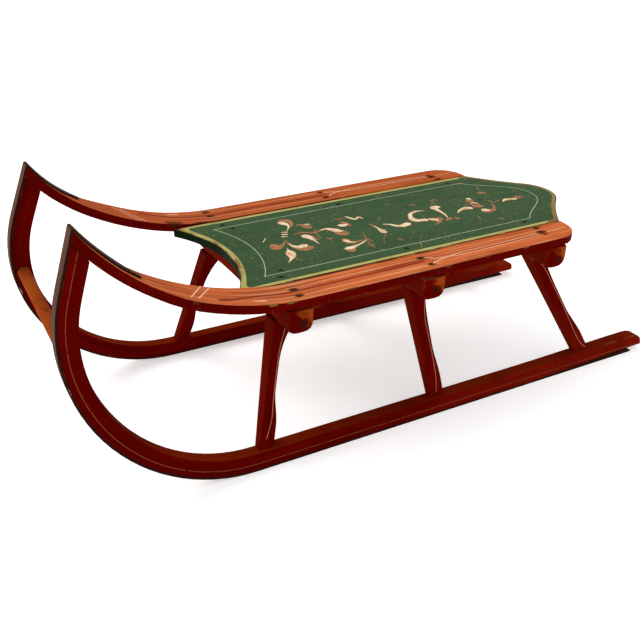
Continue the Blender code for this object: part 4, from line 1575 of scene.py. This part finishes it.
def makeScrewHead(settings):
    # A slotted countersunk head, its top at z 0: two half moons and the slot's floor.
    body = bmesh.new()
    slotHalf, steps = settings["slotHalf"], settings["steps"]
    floorZ = -settings["slotDepth"]
    underZ = floorZ - settings["under"]
    profile = ((1.0, underZ), (1.0, -settings["bevel"]), (settings["crown"], 0.0))
    for side in hands.values():
        rings = []
        for radius, z in profile:
            start = math.asin(slotHalf / radius)
            turns = [start + (math.pi - 2 * start) * i / steps for i in range(steps + 1)]
            rings.append([body.verts.new((radius * math.cos(turn) * side, radius * math.sin(turn) * side, z))
                          for turn in turns])
        for low, high in zip(rings, rings[1:]):
            for (a, b), (c, d) in zip(around(low), around(high)):
                body.faces.new((a, b, d, c))
        body.faces.new(rings[0][::-1])
        body.faces.new(rings[-1])
    reach = math.cos(math.asin(slotHalf))
    corners = [(-reach, -slotHalf), (reach, -slotHalf), (reach, slotHalf), (-reach, slotHalf)]
    floor, under = [[body.verts.new((x, y, z)) for x, y in corners] for z in (floorZ, underZ)]
    body.faces.new(floor)
    body.faces.new(under[::-1])
    for (a, b), (c, d) in zip(around(under), around(floor)):
        body.faces.new((a, b, d, c))
    bmesh.ops.recalc_face_normals(body, faces=body.faces)
    return addPiece("screwHead", body)


def makeFastenerTree():
    # A head on every point, as big as brushWidth says, turned to its facing and spun at random.
    tree, given = startTree("fasteners", {"Head": ("Object", None), "Seed": ("Int", 1),
                                          "Iron": ("Material", None)})
    head = addNode(tree, "GeometryNodeObjectInfo", {"As Instance": True, "Object": given["Head"]}, "Geometry")
    facing = readNamed(tree, "facing", "FLOAT_VECTOR")
    aimed = addNode(tree, "FunctionNodeAlignRotationToVector", {"Vector": facing}, "Rotation", axis="Z")
    fullTurn = {3: math.tau, "Seed": given["Seed"]}      # the fourth input is the highest number
    chance = addNode(tree, "FunctionNodeRandomValue", fullTurn, 1, data_type="FLOAT")
    spin = addNode(tree, "FunctionNodeAxisAngleToRotation", {"Axis": (0, 0, 1), "Angle": chance}, "Rotation")
    turned = addNode(tree, "FunctionNodeRotateRotation", {"Rotation": aimed, "Rotate By": spin}, "Rotation",
                     rotation_space="LOCAL")
    inputs = {"Points": given["Geometry"], "Instance": head, "Rotation": turned,
              "Scale": readNamed(tree, "brushWidth")}
    placed = addNode(tree, "GeometryNodeInstanceOnPoints", inputs, "Instances")
    return endTree(tree, placed, given["Iron"])


fastenerTree = makeFastenerTree()
screwHead = makeScrewHead(screwShape)
proud = fasteners["proud"]
heads = []
for kind in ("deck", "rail", "nail"):
    for across, y, _ in fasteners[kind]["places"]:
        if kind == "deck":
            place, up = Vector((across, y, deck["top"] + seatLift(y) + proud)), seatUp
        else:
            place, up = onRail(across, y, proud)
        for side in hands.values():
            heads.append((Vector((side * place.x, place.y, place.z)), fasteners[kind]["size"], up))
for hand, side in hands.items():
    nails = [(y, z, fasteners["runner"]["size"]) for y, z in fasteners["runner"]["places"]]
    for place, size, facing in onFace("runner_" + hand, side, nails):
        heads.append((place + facing * proud, size, facing))
screws = bakeTree(pathObject("slottedScrews", [[head] for head in heads]), fastenerTree,
                  {"Head": screwHead, "Seed": fasteners["seed"], "Iron": paints["screw"]})
bpy.data.objects.remove(screwHead)
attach(screws, "root")
